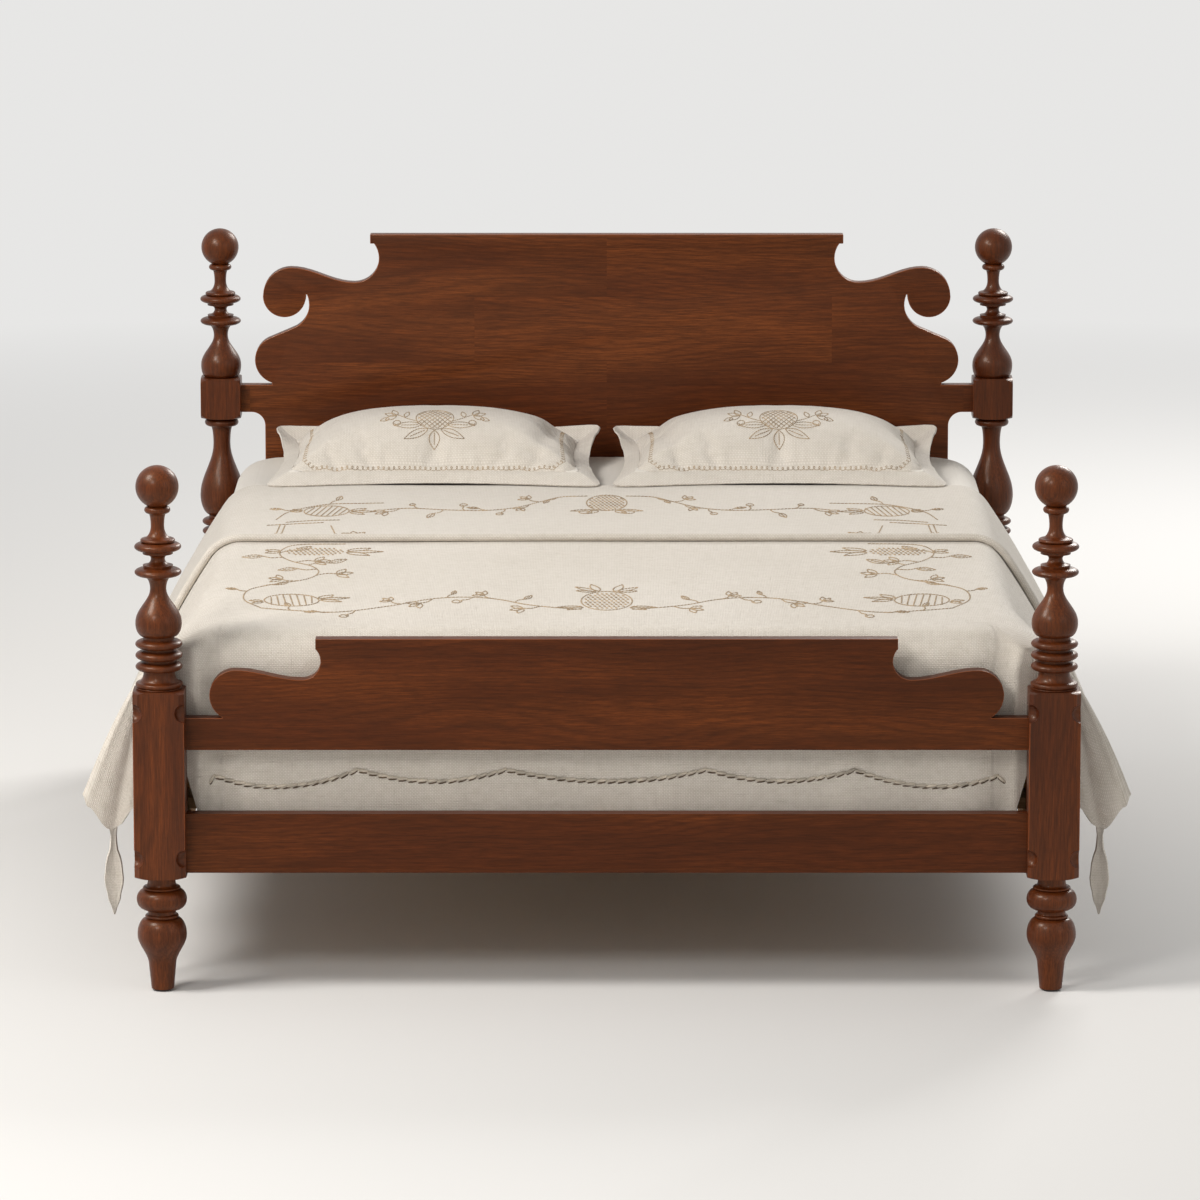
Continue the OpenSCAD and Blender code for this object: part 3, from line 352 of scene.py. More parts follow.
def new_material(name, colour):
    """A material with its graph and its Principled BSDF."""
    material = bpy.data.materials.new(name)
    material.use_nodes = True
    material.diffuse_color = (*colour[:3], 1)
    return material, Graph(material.node_tree), material.node_tree.nodes["Principled BSDF"].inputs


def tinted(colour, *factors):
    """A colour times one factor, or times one for each channel, and never above 1."""
    each = factors if len(factors) == 3 else factors * 3
    return tuple(min(1.0, c * f) for c, f in zip(colour, each))


def wood_figure_group():
    """The figure of flat-sawn wood, on a vector in metres whose X runs along the grain."""
    graph, source, sink = new_group(
        "Wood figure",
        [("Vector", "Vector", (0, 0, 0)), ("Dark", "Color", (0, 0, 0, 1)),
         ("Middle", "Color", (0, 0, 0, 1)), ("Light", "Color", (0, 0, 0, 1)),
         ("Lines", "Float", 1.0), ("Polish", "Float", 0.36)],
        [("Color", "Color"), ("Roughness", "Float"), ("Height", "Float")],
    )

    def streaks(along, across, detail, roughness, distortion=0.0):
        return graph.grain(source["Vector"], (along, across, across), detail, roughness, distortion)

    patch = graph.between(streaks(1.7, 9.0, 2.0, 0.5, 0.3), 0.42, 0.66)
    broad = graph.between(streaks(2.0, 17.0, 3.0, 0.55, 0.4), 0.45, 0.72)
    band = graph.between(streaks(6.0, 110.0, 3.0, 0.6, 0.3), 0.42, 0.70)
    fibre = streaks(24.0, 480.0, 4.0, 0.65)
    pore = graph.between(streaks(70.0, 1500.0, 1.0, 0.5), 0.60, 0.72)
    across = graph.add("SeparateXYZ", {0: source["Vector"]})
    level = graph.times(graph.plus(across[1], across[2]), 0.75)
    level = graph.plus(level, graph.times(streaks(1.3, 6.5, 1.5, 0.45), 0.17))
    level = graph.plus(level, graph.times(streaks(11.0, 70.0, 2.0, 0.5), 0.006))
    ring_gap = 0.0095
    ring = graph.math("SINE", graph.times(level, 2 * math.pi / ring_gap))
    ring = graph.math("POWER", graph.between(ring, -1.0, 1.0), 2.6)
    colour = graph.mix(graph.times(patch, 0.66), source["Middle"], source["Light"])
    for share in (
        graph.times(broad, 0.34),
        graph.times(band, 0.34),
        graph.times(ring, graph.times(source["Lines"], 0.30)),
        graph.between(fibre, 0.38, 0.66, 0.0, 0.62),
        graph.times(pore, 0.40),
    ):
        colour = graph.mix(share, colour, source["Dark"])
    rough = graph.plus(source["Polish"], graph.between(fibre, 0.3, 0.7, -0.05, 0.08))
    graph.fill(sink, {
        "Color": colour,
        "Roughness": graph.plus(rough, graph.times(pore, 0.12)),
        "Height": graph.math("SUBTRACT", graph.times(fibre, 0.5), pore),
    })


def edge_wear_and_highlight_group():
    """Lightens a colour on an edge: partly wear where hands and cloths rub it, partly a painted highlight."""
    graph, source, sink = new_group(
        "Rubbed edge",
        [("Vector", "Vector", (0, 0, 0)), ("Color", "Color", (0, 0, 0, 1)),
         ("Worn and highlit", "Color", (1, 1, 1, 1)), ("Share", "Float", 0.3)],
        [("Color", "Color")],
    )
    patchy = graph.between(graph.grain(source["Vector"], (9, 9, 9), 4.0, 0.6), 0.3, 0.65, 0.45, 1.0)
    share = graph.times(patchy, source["Share"])
    graph.fill(sink, {"Color": graph.mix(share, source["Color"], source["Worn and highlit"])})


def weave_group():
    """A plain weave with slubs, on a vector in metres that follows the cloth."""
    graph, source, sink = new_group(
        "Plain weave",
        [("Vector", "Vector", (0, 0, 0)), ("Pitch", "Float", 0.002), ("Slub", "Float", 1.0)],
        [("Shade", "Float"), ("Height", "Float")],
    )
    vector = source["Vector"]
    across = graph.add("SeparateXYZ", {0: vector})
    turn = graph.math("DIVIDE", math.pi, source["Pitch"])
    wave = [graph.math("SINE", graph.times(across[i], turn)) for i in (0, 1)]
    thread = graph.plus(graph.math("ABSOLUTE", wave[0]), graph.math("ABSOLUTE", wave[1]))
    over = graph.times(wave[0], wave[1])
    long_slub = graph.between(graph.grain(vector, (14.0, 330.0, 1.0), 3.0, 0.7), 0.55, 0.75)
    tall_slub = graph.between(graph.grain(vector, (330.0, 16.0, 1.0), 3.0, 0.7), 0.57, 0.78)
    slub = graph.times(graph.math("MAXIMUM", long_slub, tall_slub), source["Slub"])
    height = graph.plus(graph.times(thread, 0.32), graph.times(over, 0.22))
    even = graph.grain(vector, (60.0, 60.0, 1.0), 4.0, 0.7)
    shade = graph.plus(graph.times(thread, 0.25), graph.times(even, 0.5))
    shade = graph.plus(shade, graph.times(over, 0.16))
    graph.fill(sink, {
        "Height": graph.plus(height, graph.times(slub, 0.5)),
        "Shade": graph.math("SUBTRACT", shade, graph.times(slub, 0.22)),
    })


def wood_material(name, axis, colours, lines=1.0, polish=0.42, worn_and_highlit=0.0, seed=0.0, coat=0.05, stave=None):
    """Stained and polished wood whose grain runs along one axis of the bed, glued up from staves."""
    dark, middle, light = colours
    material, graph, shader = new_material(name, middle)
    vector = graph.add("Mapping", {"Vector": graph.place(), "Location": (seed, seed * 0.7, seed * 1.3)})[0]
    if stave:
        flat = graph.add("SeparateXYZ", {0: vector})
        brick = graph.add("TexBrick", {
            "Vector": graph.add("CombineXYZ", {0: flat[0], 1: flat[2]})[0],
            "Color1": (0, 0, 0), "Color2": (1, 1, 1), "Mortar": (0.5, 0.5, 0.5),
            "Scale": 1.0, "Mortar Size": 0.0, "Brick Width": stave[0], "Row Height": stave[1],
        }, offset=0.37)
        tint = graph.add("SeparateColor", {0: brick["Color"]})[0]
        shift = graph.add("VectorMath", {0: (0.45, 0.03, 0.05), "Scale": tint}, operation="SCALE")[0]
        vector = graph.add("VectorMath", {0: vector, 1: shift}, operation="ADD")[0]
        middle = graph.mix(tint, tinted(middle, 0.92), tinted(middle, 1.08))
    if axis != "X":
        parts = graph.add("SeparateXYZ", {0: vector})
        order = (1, 0, 2) if axis == "Y" else (2, 1, 0)
        vector = graph.add("CombineXYZ", {i: parts[k] for i, k in enumerate(order)})[0]
    figure = graph.group("Wood figure", {
        "Vector": vector, "Dark": dark, "Middle": middle, "Light": light, "Lines": lines, "Polish": polish,
    })
    colour = figure["Color"]
    # Lighter eased edges: partly wear, partly a painted highlight along the edge.
    if worn_and_highlit:
        colour = graph.group("Rubbed edge", {
            "Vector": graph.place(), "Color": colour, "Worn and highlit": tinted(light, 1.8), "Share": worn_and_highlit,
        })["Color"]
    graph.fill(shader, {
        "Base Color": colour, "Roughness": figure["Roughness"],
        "Normal": graph.bump(figure["Height"], 0.2, 0.0005),
        "Coat Weight": coat, "Coat Roughness": 0.20,
        "Specular IOR Level": 0.28, "Specular Tint": (1.0, 0.70, 0.46),
    })
    return material


def stained(name, axis, seed, tone=(1, 1, 1), coat=0.05, **more):
    """A pair of materials of the stained wood: for the faces, and for the eased edges, which are lightened
    partly as wear and partly as a painted highlight.
    """
    wood = settings("wood")
    colours = [tinted(colour, *tone) for colour in (wood.dark, wood.middle, wood.light)]
    return [
        wood_material(name, axis, colours, seed=seed, coat=coat, **more),
        wood_material(name + " edge", axis, colours, seed=seed, polish=0.34, worn_and_highlit=0.5, coat=0.4, **more),
    ]


def plain_wood(name, axis, seed):
    wood = settings("wood")
    middle = [(a + 2 * b) / 3 for a, b in zip(wood.base_dark, wood.base_light)]
    colours = (wood.base_dark, middle, wood.base_light)
    return [
        wood_material(name, axis, colours, 0.8, 0.55, seed=seed, coat=0.0),
        wood_material(name + " edge", axis, colours, 0.8, 0.5, worn_and_highlit=0.1, seed=seed, coat=0.0),
    ]


def cloth_material(name, colour, pitch, slub=1.0, contrast=0.19, bump=0.9, fuzz=0.3, vector="UV"):
    """Woven cloth with its thread structure, slight unevenness and soft sheen."""
    material, graph, shader = new_material(name, colour)
    weave = graph.group("Plain weave", {"Vector": graph.place(vector), "Pitch": pitch, "Slub": slub})
    cloud = graph.grain(graph.place(), (2.2, 2.2, 2.2), 4.0, 0.6)
    light = tinted(colour, 1 + contrast * 0.5)
    dark = tinted(colour, *(1 - contrast * k for k in (2.0, 2.2, 2.6)))
    share = graph.math("ADD", weave["Shade"], graph.between(cloud, 0.3, 0.7, -0.08, 0.08), clamp=True)
    graph.fill(shader, {
        "Base Color": graph.mix(share, dark, light),
        "Roughness": graph.between(weave["Shade"], 0.0, 1.0, 0.92, 0.82),
        "Normal": graph.bump(weave["Height"], bump, 0.0012),
        "Sheen Weight": fuzz, "Sheen Roughness": 0.5, "Specular IOR Level": 0.2,
    })
    return material


def thread_material(name, colour):
    """Twisted embroidery thread."""
    material, graph, shader = new_material(name, colour)
    tone = graph.grain(graph.place(), (40, 40, 40), 2.0)
    fine = graph.grain(graph.place(), (900, 900, 900), 2.0)
    dark = tinted(colour, 0.62)
    mixed = graph.mix(graph.between(tone, 0.3, 0.7), dark, tinted(colour, 1.35))
    graph.fill(shader, {
        "Base Color": graph.mix(graph.between(fine, 0.35, 0.7, 0.0, 0.5), mixed, dark),
        "Roughness": graph.between(fine, 0.3, 0.7, 0.75, 0.6),
        "Normal": graph.bump(fine, 0.5, 0.0004),
        "Sheen Weight": 0.2, "Specular IOR Level": 0.3,
    })
    return material


def steel_material(name, colour, rough):
    """Zinc-plated steel with faint rolling marks."""
    material, graph, shader = new_material(name, colour)
    marks = graph.grain(graph.place(), (60, 60, 900), 4.0, 0.6)
    bloom = graph.grain(graph.place(), (45, 45, 45))
    graph.fill(shader, {
        "Base Color": graph.mix(graph.between(bloom, 0.35, 0.7), colour, tinted(colour, 0.7)),
        "Roughness": graph.between(marks, 0.3, 0.7, rough - 0.06, rough + 0.1),
        "Normal": graph.bump(marks, 0.15, 0.0002), "Metallic": 1.0,
    })
    return material


def nylon_material(name, colour):
    """Moulded nylon with a fine grain."""
    material, graph, shader = new_material(name, colour)
    grain = graph.grain(graph.place(), (700, 700, 700))
    graph.fill(shader, {
        "Base Color": graph.mix(graph.between(grain, 0.4, 0.65), colour, tinted(colour, 1.6)),
        "Roughness": graph.between(grain, 0.3, 0.7, 0.42, 0.6),
        "Normal": graph.bump(grain, 0.3, 0.0002),
    })
    return material


def seen_directly(graph):
    """1 where the camera sees a surface itself, in a reflection or through glass."""
    seen = graph.add("LightPath")
    direct = graph.math("MAXIMUM", seen["Is Camera Ray"], seen["Is Glossy Ray"])
    return graph.math("MAXIMUM", direct, seen["Is Transmission Ray"])


def floor_material(name, colour, backdrop, near, far):
    """Plain pale floor that runs out into the plain backdrop between two distances."""
    material, graph, shader = new_material(name, colour)
    graph.fill(shader, {"Base Color": colour, "Roughness": 0.85, "Specular IOR Level": 0.1})
    away = graph.add("VectorMath", {0: graph.place()}, operation="LENGTH")["Value"]
    share = graph.times(graph.between(away, near, far), seen_directly(graph))
    plain = graph.add("Emission", {"Color": backdrop, "Strength": 1.0})[0]
    nodes = material.node_tree.nodes
    lit = nodes["Principled BSDF"].outputs[0]
    both = graph.add("MixShader", {0: share, 1: lit, 2: plain})[0]
    graph.fill(nodes["Material Output"].inputs, {0: both})
    return material


# The stage

class TURNED_BED_OT_stage(bpy.types.Operator):
    """Sets up the pale floor, the soft studio light and the camera"""

    bl_idname = "turned_bed.stage"
    bl_label = "Stage"

    floor_size: length_setting("Floor", "Side of the floor", 90.0)
    backdrop: colour_setting("Backdrop", "Colour of the plain backdrop", 0.80, 0.795, 0.785)

    def execute(self, context):
        scene = context.scene
        scene.view_settings.view_transform = "Standard"
        bpy.ops.mesh.primitive_plane_add(size=self.floor_size, location=(0, 0, 0))
        floor = context.object
        floor.name = "studio_floor"
        give(floor, floor_material("Studio floor", (0.82, 0.815, 0.805), self.backdrop, near=2.6, far=7.5))
        world = bpy.data.worlds.new("Studio")
        scene.world = world
        world.use_nodes = True
        graph = Graph(world.node_tree)
        nodes = world.node_tree.nodes
        lit = nodes["Background"]
        graph.fill(lit.inputs, {"Color": (1.0, 0.985, 0.96), "Strength": 0.33})
        shown = graph.add("Background", {"Color": self.backdrop, "Strength": 1.0})[0]
        both = graph.add("MixShader", {0: seen_directly(graph), 1: lit.outputs[0], 2: shown})[0]
        graph.fill(nodes["World Output"].inputs, {0: both})
        lit_point = Vector((0, -0.2, 0.6))
        for name, place, size, power, colour in (
            ("key", (-3.3, -2.3, 4.2), 1.7, 188, (1.0, 0.965, 0.92)),
            ("front", (-3.4, -6.8, 4.9), 1.8, 135, (1.0, 0.975, 0.94)),
            ("fill", (5.2, -5.6, 3.4), 4.0, 30, (0.96, 0.98, 1.0)),
            ("back", (2.8, 4.8, 3.9), 2.0, 220, (1.0, 0.98, 0.95)),
        ):
            lamp = bpy.data.lights.new("studio_" + name, "AREA")
            lamp.size = size
            lamp.energy = power
            lamp.color = colour
            obj = added("studio_" + name, lamp)
            obj.location = place
            obj.rotation_euler = (lit_point - Vector(place)).to_track_quat("-Z", "Y").to_euler()
        view = settings("camera")
        lens = bpy.data.cameras.new("photo_camera")
        lens.lens = view.lens
        lens.sensor_width = 36.0
        lens.shift_x = view.shift
        lens.clip_end = 200.0
        camera = added("photo_camera", lens)
        camera.location = view.place
        camera.rotation_euler = (view.tilt, 0, 0)
        scene.camera = camera
        return {"FINISHED"}


# Wood, steel and nylon

# The footboard and the foot rail take a darker copy of the headboard's stain: painted shade.
POST_TONE, FOOT_SHADE_TONE = (0.84, 0.72, 0.52), (0.85, 0.77, 0.64)
HEADBOARD_STAVE = (0.74, 0.138)


class TURNED_BED_OT_posts(bpy.types.Operator):
    """Dresses the four turned posts and their ball finials"""

    bl_idname = "turned_bed.posts"
    bl_label = "Posts and finials"

    def execute(self, context):
        ease = settings("wood").block_ease
        for end, _ in ENDS:
            for side, hand in SIDES:
                seed = 3.1 + 1.7 * hand + (5.3 if end == "head" else 0.0)
                wood = stained(f"Post wood {end} {side}", "Z", seed, POST_TONE, coat=0.20, lines=0.8)
                for piece in ("post", "finial"):
                    dressed(f"{end}_{piece}_{side}", wood, "post_wood",
                            ease if piece == "post" else 0.0, upright=True)
        return {"FINISHED"}


class TURNED_BED_OT_boards(bpy.types.Operator):
    """Dresses the headboard, the footboard and the rails below them"""

    bl_idname = "turned_bed.boards"
    bl_label = "Headboard and footboard"

    def execute(self, context):
        ease = settings("wood").board_ease
        face = min(abs(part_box("head_post_left")[1].x), abs(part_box("head_post_right")[0].x))
        upper_face = face + 0.005
        for node, slot, seed, shoulder in (
            ("headboard", "headboard_wood", 0.0, upper_face),
            ("head_rail", "headboard_wood", 4.2, face),
            ("footboard", "footboard_wood", 7.7, face),
            ("foot_rail", "footboard_wood", 12.4, face),
        ):
            stave = HEADBOARD_STAVE if node == "headboard" else None
            # Painted shade: the footboard and the foot rail get a darker tone of the same stain.
            tone = FOOT_SHADE_TONE if slot == "footboard_wood" else (1, 1, 1)
            dressed(node, stained(node + " wood", "X", seed, tone, stave=stave), slot, ease, at_x=shoulder)
        return {"FINISHED"}


class TURNED_BED_OT_side_rails(bpy.types.Operator):
    """Dresses the two side rails"""

    bl_idname = "turned_bed.side_rails"
    bl_label = "Side rails"

    def execute(self, context):
        for side, hand in SIDES:
            wood = stained(f"Side rail wood {side}", "Y", 6.0 + 2.3 * hand)
            dressed(f"side_rail_{side}", wood, "rail_wood", settings("wood").board_ease)
        return {"FINISHED"}


class TURNED_BED_OT_slatted_base(bpy.types.Operator):
    """Dresses the slats, their ledges, the centre beam and its leg"""

    bl_idname = "turned_bed.slatted_base"
    bl_label = "Slatted base"

    def execute(self, context):
        ease = settings("wood").base_ease
        slats = sorted(n for n in frame["nodes"] if n.startswith("slat_") and n[5:].isdigit())
        for index, node in enumerate(slats):
            dressed(node, plain_wood(f"Slat wood {index + 1}", "X", 1.9 * index), "base_wood", ease)
        for node, axis, seed in (
            ("slat_ledge_left", "Y", 2.0), ("slat_ledge_right", "Y", 5.0),
            ("centre_beam", "Y", 8.0), ("centre_leg", "Z", 11.0),
        ):
            dressed(node, plain_wood(node + " wood", axis, seed), "base_wood", ease)
        return {"FINISHED"}


class TURNED_BED_OT_fittings(bpy.types.Operator):
    """Gives the steel fittings, the screws and the glides their finishes"""

    bl_idname = "turned_bed.fittings"
    bl_label = "Fittings and glides"

    def execute(self, context):
        plate = steel_material("Plated steel", (0.62, 0.62, 0.60), 0.34)
        screw = steel_material("Yellow screw steel", (0.72, 0.64, 0.45), 0.28)
        glide = nylon_material("Glide nylon", (0.028, 0.024, 0.02))
        for node, obj in frame["nodes"].items():
            finish = None
            if node.endswith("_screws"):
                finish = screw
            elif node.startswith(("rail_hook", "post_plate", "beam_hanger")) or node == "centre_leg_bolt":
                finish = plate
            elif node.startswith("glide") or node.endswith("_glide"):
                finish = glide
            if finish:
                give(obj, finish)
        return {"FINISHED"}


# The mattress and its fitted sheet

def mattress_ring(inset, z, corner, half_w, half_l, turns=12, straights=24):
    """Points round the mattress at one height, drawn in from its sides by inset."""
    ring = []
    r = max(corner - inset, 0.002)
    for quarter, (sx, sy) in enumerate(((1, 1), (-1, 1), (-1, -1), (1, -1))):
        cx, cy = sx * (half_w - corner), sy * (half_l - corner)
        for i in range(turns + 1):
            a = math.radians(90 * (quarter + i / turns))
            ring.append((cx + r * math.cos(a), cy + r * math.sin(a), z))
        nx, ny = [(-1, 1), (-1, -1), (1, -1), (1, 1)][quarter]
        end = (nx * (half_w - corner), ny * (half_l - corner))
        last = ring[-1]
        a = math.radians(90 * (quarter + 1))
        goal = (end[0] + r * math.cos(a), end[1] + r * math.sin(a))
        for i in range(1, straights):
            t = i / straights
            ring.append((last[0] + (goal[0] - last[0]) * t, last[1] + (goal[1] - last[1]) * t, z))
    return ring


def lofted(name, rings, cap_low=False, marks=None):
    """A skin over closed rings of points, all of the same count, closed at its top."""
    n = len(rings[0])
    points = [p for ring in rings for p in ring]
    faces = []
    for k in range(len(rings) - 1):
        for i in range(n):
            j = (i + 1) % n
            faces.append((k * n + i, k * n + j, (k + 1) * n + j, (k + 1) * n + i))
    faces.append(tuple(range((len(rings) - 1) * n, len(rings) * n)))
    if cap_low:
        faces.append(tuple(reversed(range(n))))
    return made_object(name, points, faces, marks)


MATTRESS_EDGE = 0.060
MATTRESS_CORNER = 0.110
PIPING = 0.0055
PIPING_HEIGHT = 0.045
QUILT_HALF, QUILT_DEPTH = 0.085, 0.0035
SHEET_OVER = 0.0018
SHEET_HEM_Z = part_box("fitted_sheet")[0].z
HEM_GATHER, GATHER_PITCH = 0.0028, 0.022
HEM_ABOVE, HEM_BELOW = 0.07, 0.03


def smooth_step(t):
    t = min(1.0, max(0.0, t))
    return t * t * (3 - 2 * t)


def hem_pull(x, y, z, half_w, half_l):
    """How strongly the elastic of the fitted sheet's hem pulls in a place, 2 at a corner."""
    corner = min(abs(x) - half_w, abs(y) - half_l) + MATTRESS_CORNER
    above = z - SHEET_HEM_Z
    over = max(0.0, 1 - above / HEM_ABOVE) ** 1.5 if above > 0 else max(0.0, 1 + above / HEM_BELOW)
    return over * (1 + smooth_step(corner / 0.04))


def rounded_side(low, high, edge):
    """Steps up a mattress's side as (inset, height), from low to high, with rounded edges."""
    steps, arcs = [], 6
    for i in range(arcs + 1):
        a = math.radians(-90 + 90 * i / arcs)
        steps.append((edge * (1 - math.cos(a)), low + edge * (1 + math.sin(a))))
    for i in range(1, 12):
        steps.append((0.0, low + edge + (high - low - 2 * edge) * i / 12))
    for i in range(arcs + 1):
        a = math.radians(90 * i / arcs)
        steps.append((edge * (1 - math.cos(a)), high - edge * (1 - math.sin(a))))
    return steps


class TURNED_BED_OT_mattress(bpy.types.Operator):
    """Makes the mattress with its piped edges and quilted border"""

    bl_idname = "turned_bed.mattress"
    bl_label = "Mattress"

    def execute(self, context):
        low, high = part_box("mattress")
        half_w, half_l = high.x, high.y
        middle = (low.z + high.z) / 2
        side = rounded_side(low.z, high.z, MATTRESS_EDGE)
        roll = [(math.cos(math.radians(a)), math.sin(math.radians(a))) for a in (-80, -40, 0, 40, 80)]
        for seam in (low.z + PIPING_HEIGHT, high.z - PIPING_HEIGHT):
            side = [s for s in side if abs(s[1] - seam) >= PIPING * 1.3]
            drop = min(seam - low.z, high.z - seam)
            inset = MATTRESS_EDGE * (1 - math.sqrt(max(0.0, 1 - (1 - drop / MATTRESS_EDGE) ** 2)))
            proud = 0.55 if seam < middle else 0.08
            side += [(inset - PIPING * c * proud, seam + PIPING * s) for c, s in roll]
        steps = [(0.25, low.z), (0.12, low.z)]
        steps += sorted(side, key=lambda s: s[1])
        steps += [(0.12, high.z), (0.25, high.z)]
        rings = [mattress_ring(i, z, MATTRESS_CORNER, half_w, half_l) for i, z in steps]
        puffed = []
        for ring in rings:
            row = []
            for index, (x, y, z) in enumerate(ring):
                share = max(0.0, 1 - abs(z - middle) / QUILT_HALF)
                swell = QUILT_DEPTH * share * (abs(math.sin(index * math.pi / 6)) - 1)
                swell -= 1.25 * HEM_GATHER * hem_pull(x, y, z, half_w, half_l)
                scale = 1 + swell / max(abs(x), abs(y))
                row.append((x * scale, y * scale, z))
            puffed.append(row)
        obj = lofted("mattress_body", puffed, cap_low=True)
        outward(obj)
        give(obj, cloth_material("Mattress ticking", settings("cloth").ticking, 0.0012, slub=0.3,
                                 contrast=0.06, bump=0.4, fuzz=0.2, vector="Object"))
        shade_smooth(obj, 50)
        settle(obj, "bedding", "mattress_ticking", "mattress")
        return {"FINISHED"}


class TURNED_BED_OT_fitted_sheet(bpy.types.Operator):
    """Makes the fitted sheet with its gathered hem"""

    bl_idname = "turned_bed.fitted_sheet"
    bl_label = "Fitted sheet"

    thickness: length_setting("Thickness", "Thickness of the sheet", 0.0012)
    gather: length_setting("Gather", "Depth of the gathers at the hem", HEM_GATHER)

    def execute(self, context):
        low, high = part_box("fitted_sheet")
        half_w, half_l = high.x, high.y
        edge = MATTRESS_EDGE + SHEET_OVER
        corner = MATTRESS_CORNER + SHEET_OVER
        steps = [(0.0, low.z + (high.z - edge - low.z) * i / 9) for i in range(9)]
        for i in range(9):
            a = math.radians(90 * i / 8)
            steps.append((edge * (1 - math.cos(a)), high.z - edge * (1 - math.sin(a))))
        steps += [(0.085 + 0.045 * i, high.z) for i in range(9)]
        rings, marks = [], []
        for inset, z in steps:
            ring = mattress_ring(inset, z, corner, half_w, half_l, turns=24, straights=70)
            row, travel, last = [], 0.0, ring[0]
            for x, y, _ in ring:
                travel += math.dist((x, y), last[:2])
                last = (x, y)
                ripple = math.sin(2 * math.pi * travel / GATHER_PITCH + 2.0 * math.sin(travel * 7.0))
                draw = self.gather * hem_pull(x, y, z, half_w, half_l) * (ripple - 1) / 2
                soft = 0.0008 * math.sin(9 * x + 4 * math.sin(5 * y)) * math.sin(7 * y + 2)
                scale = 1 + draw / max(abs(x), abs(y), 0.3)
                row.append((x * scale, y * scale, z + (min(0.0, soft) if inset > MATTRESS_EDGE else 0.0)))
                marks.append((travel, z) if inset < edge else (x, y))
            rings.append(row)
        obj = lofted("fitted_sheet_cloth", rings, marks=marks)
        thicken(obj, self.thickness, offset=-1)
        give(obj, cloth_material("Sheet cotton", settings("cloth").cotton, 0.0011, slub=0.35,
                                 contrast=0.05, bump=0.35, fuzz=0.25))
        shade_smooth(obj, 60)
        settle(obj, "bedding", "sheet_cotton", "fitted_sheet")
        return {"FINISHED"}


# The coverlet and the turned-down band. A cloth point is found from its column, which is 0 in
# the middle, 1 where the edge begins to round, 2 where the drop begins and 3 at the hem.

LEVEL_X, LEVEL_Y = 0.702, 0.956
EDGE_R = 0.0622
CLOTH_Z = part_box("coverlet")[1].z - 0.007
SIDE_TURN, SIDE_BEND, SIDE_DROP = math.radians(56), math.radians(13.8), 0.345
CORNER_REACH, CORNER_FLARE, CORNER_RISE, CORNER_SHIFT = 0.260, 0.046, 0.034, 0.029
FOOT_HEM_Z = 0.315
FOLD_PITCH, FOLD_DEPTH = 0.330, 0.011
FOOT_BEND, FOOT_BEND_DROP = math.radians(0.25), 0.2544
FOOT_DROP = CLOTH_Z - EDGE_R - FOOT_HEM_Z
SIDE_ARC, FOOT_ARC = EDGE_R * SIDE_TURN, EDGE_R * math.pi / 2
CORNER_Y, TURNED_IN_X, LEAST_TURN = -0.995, 0.815, 0.008
HEM, HEM_RISE = 0.016, 0.0007

# The side drop's end turns in on a way from 0 to 1: round its corner, past its tail, and inwards.
ROUND_TO, TAIL_FROM, TAIL_TO, TURNED_IN_L = 0.06, 0.36, 0.47, 0.13
HEM_STEPS = ((0, 0), (ROUND_TO, -0.020), (TAIL_FROM, -0.062), (TAIL_TO, -0.058), (0.75, -0.018), (1, 0.020))
TAIL_L = 0.160
TAIL_WIDTHS = ((0, 0.0090), (0.10, 0.0047), (0.2, 0.0058), (0.42, 0.0145), (0.6, 0.0172),
               (0.8, 0.0115), (0.93, 0.0045), (1, 0.0012))


def between(pairs, at):
    """The value at one place of a smooth line through pairs of place and value."""
    for (a, low), (b, high) in zip(pairs, pairs[1:]):
        if at <= b:
            return low + (high - low) * smooth_step((at - a) / (b - a))
    return pairs[-1][1]


def cloth_section(level, turn, bend, drop, share, down, off):
    """How far out and down a cloth is, at a share of the rounded edge or down its drop."""
    if share < 1:
        a = turn * share
        return level + (EDGE_R + off) * math.sin(a), (EDGE_R + off) * math.cos(a) - EDGE_R
    b, r = turn + bend * down / drop, drop / bend
    return (
        level + EDGE_R * math.sin(turn) + r * (math.sin(b) - math.sin(turn)) + off * math.sin(b),
        EDGE_R * (math.cos(turn) - 1) - r * (math.cos(turn) - math.cos(b)) + off * math.cos(b),
    )


def cornered(y):
    return max(0.0, 1 - (y + LEVEL_Y) / CORNER_REACH) ** 1.5


def cloth_point(column, y, off, share=0.0, down=0.0):
    """A point on a cloth that lies off above the sheet. share and down are for the foot drop."""
    side, hand = abs(column), -1 if column < 0 else 1
    near = cornered(y)
    hang, past = min(1.0, max(0.0, side - 2)), min(1.0, max(0.0, side - 1))
    wave = hang * FOLD_DEPTH * (1 + math.sin(2 * math.pi * y / FOLD_PITCH)) / 2
    out, up = cloth_section(LEVEL_X, SIDE_TURN, SIDE_BEND, SIDE_DROP, past,
                            hang * (SIDE_DROP - CORNER_RISE * near), off + wave)
    far, low = cloth_section(LEVEL_Y, math.pi / 2, FOOT_BEND, FOOT_BEND_DROP, share, down, off)
    x = hand * (side * LEVEL_X if side < 1 else out + CORNER_FLARE * near * past * past * (1 - 0.3 * hang))
    return Vector((
        x,
        -far if share > 0 else y - CORNER_SHIFT * past * near,
        CLOTH_Z + up + low - off,
    ))


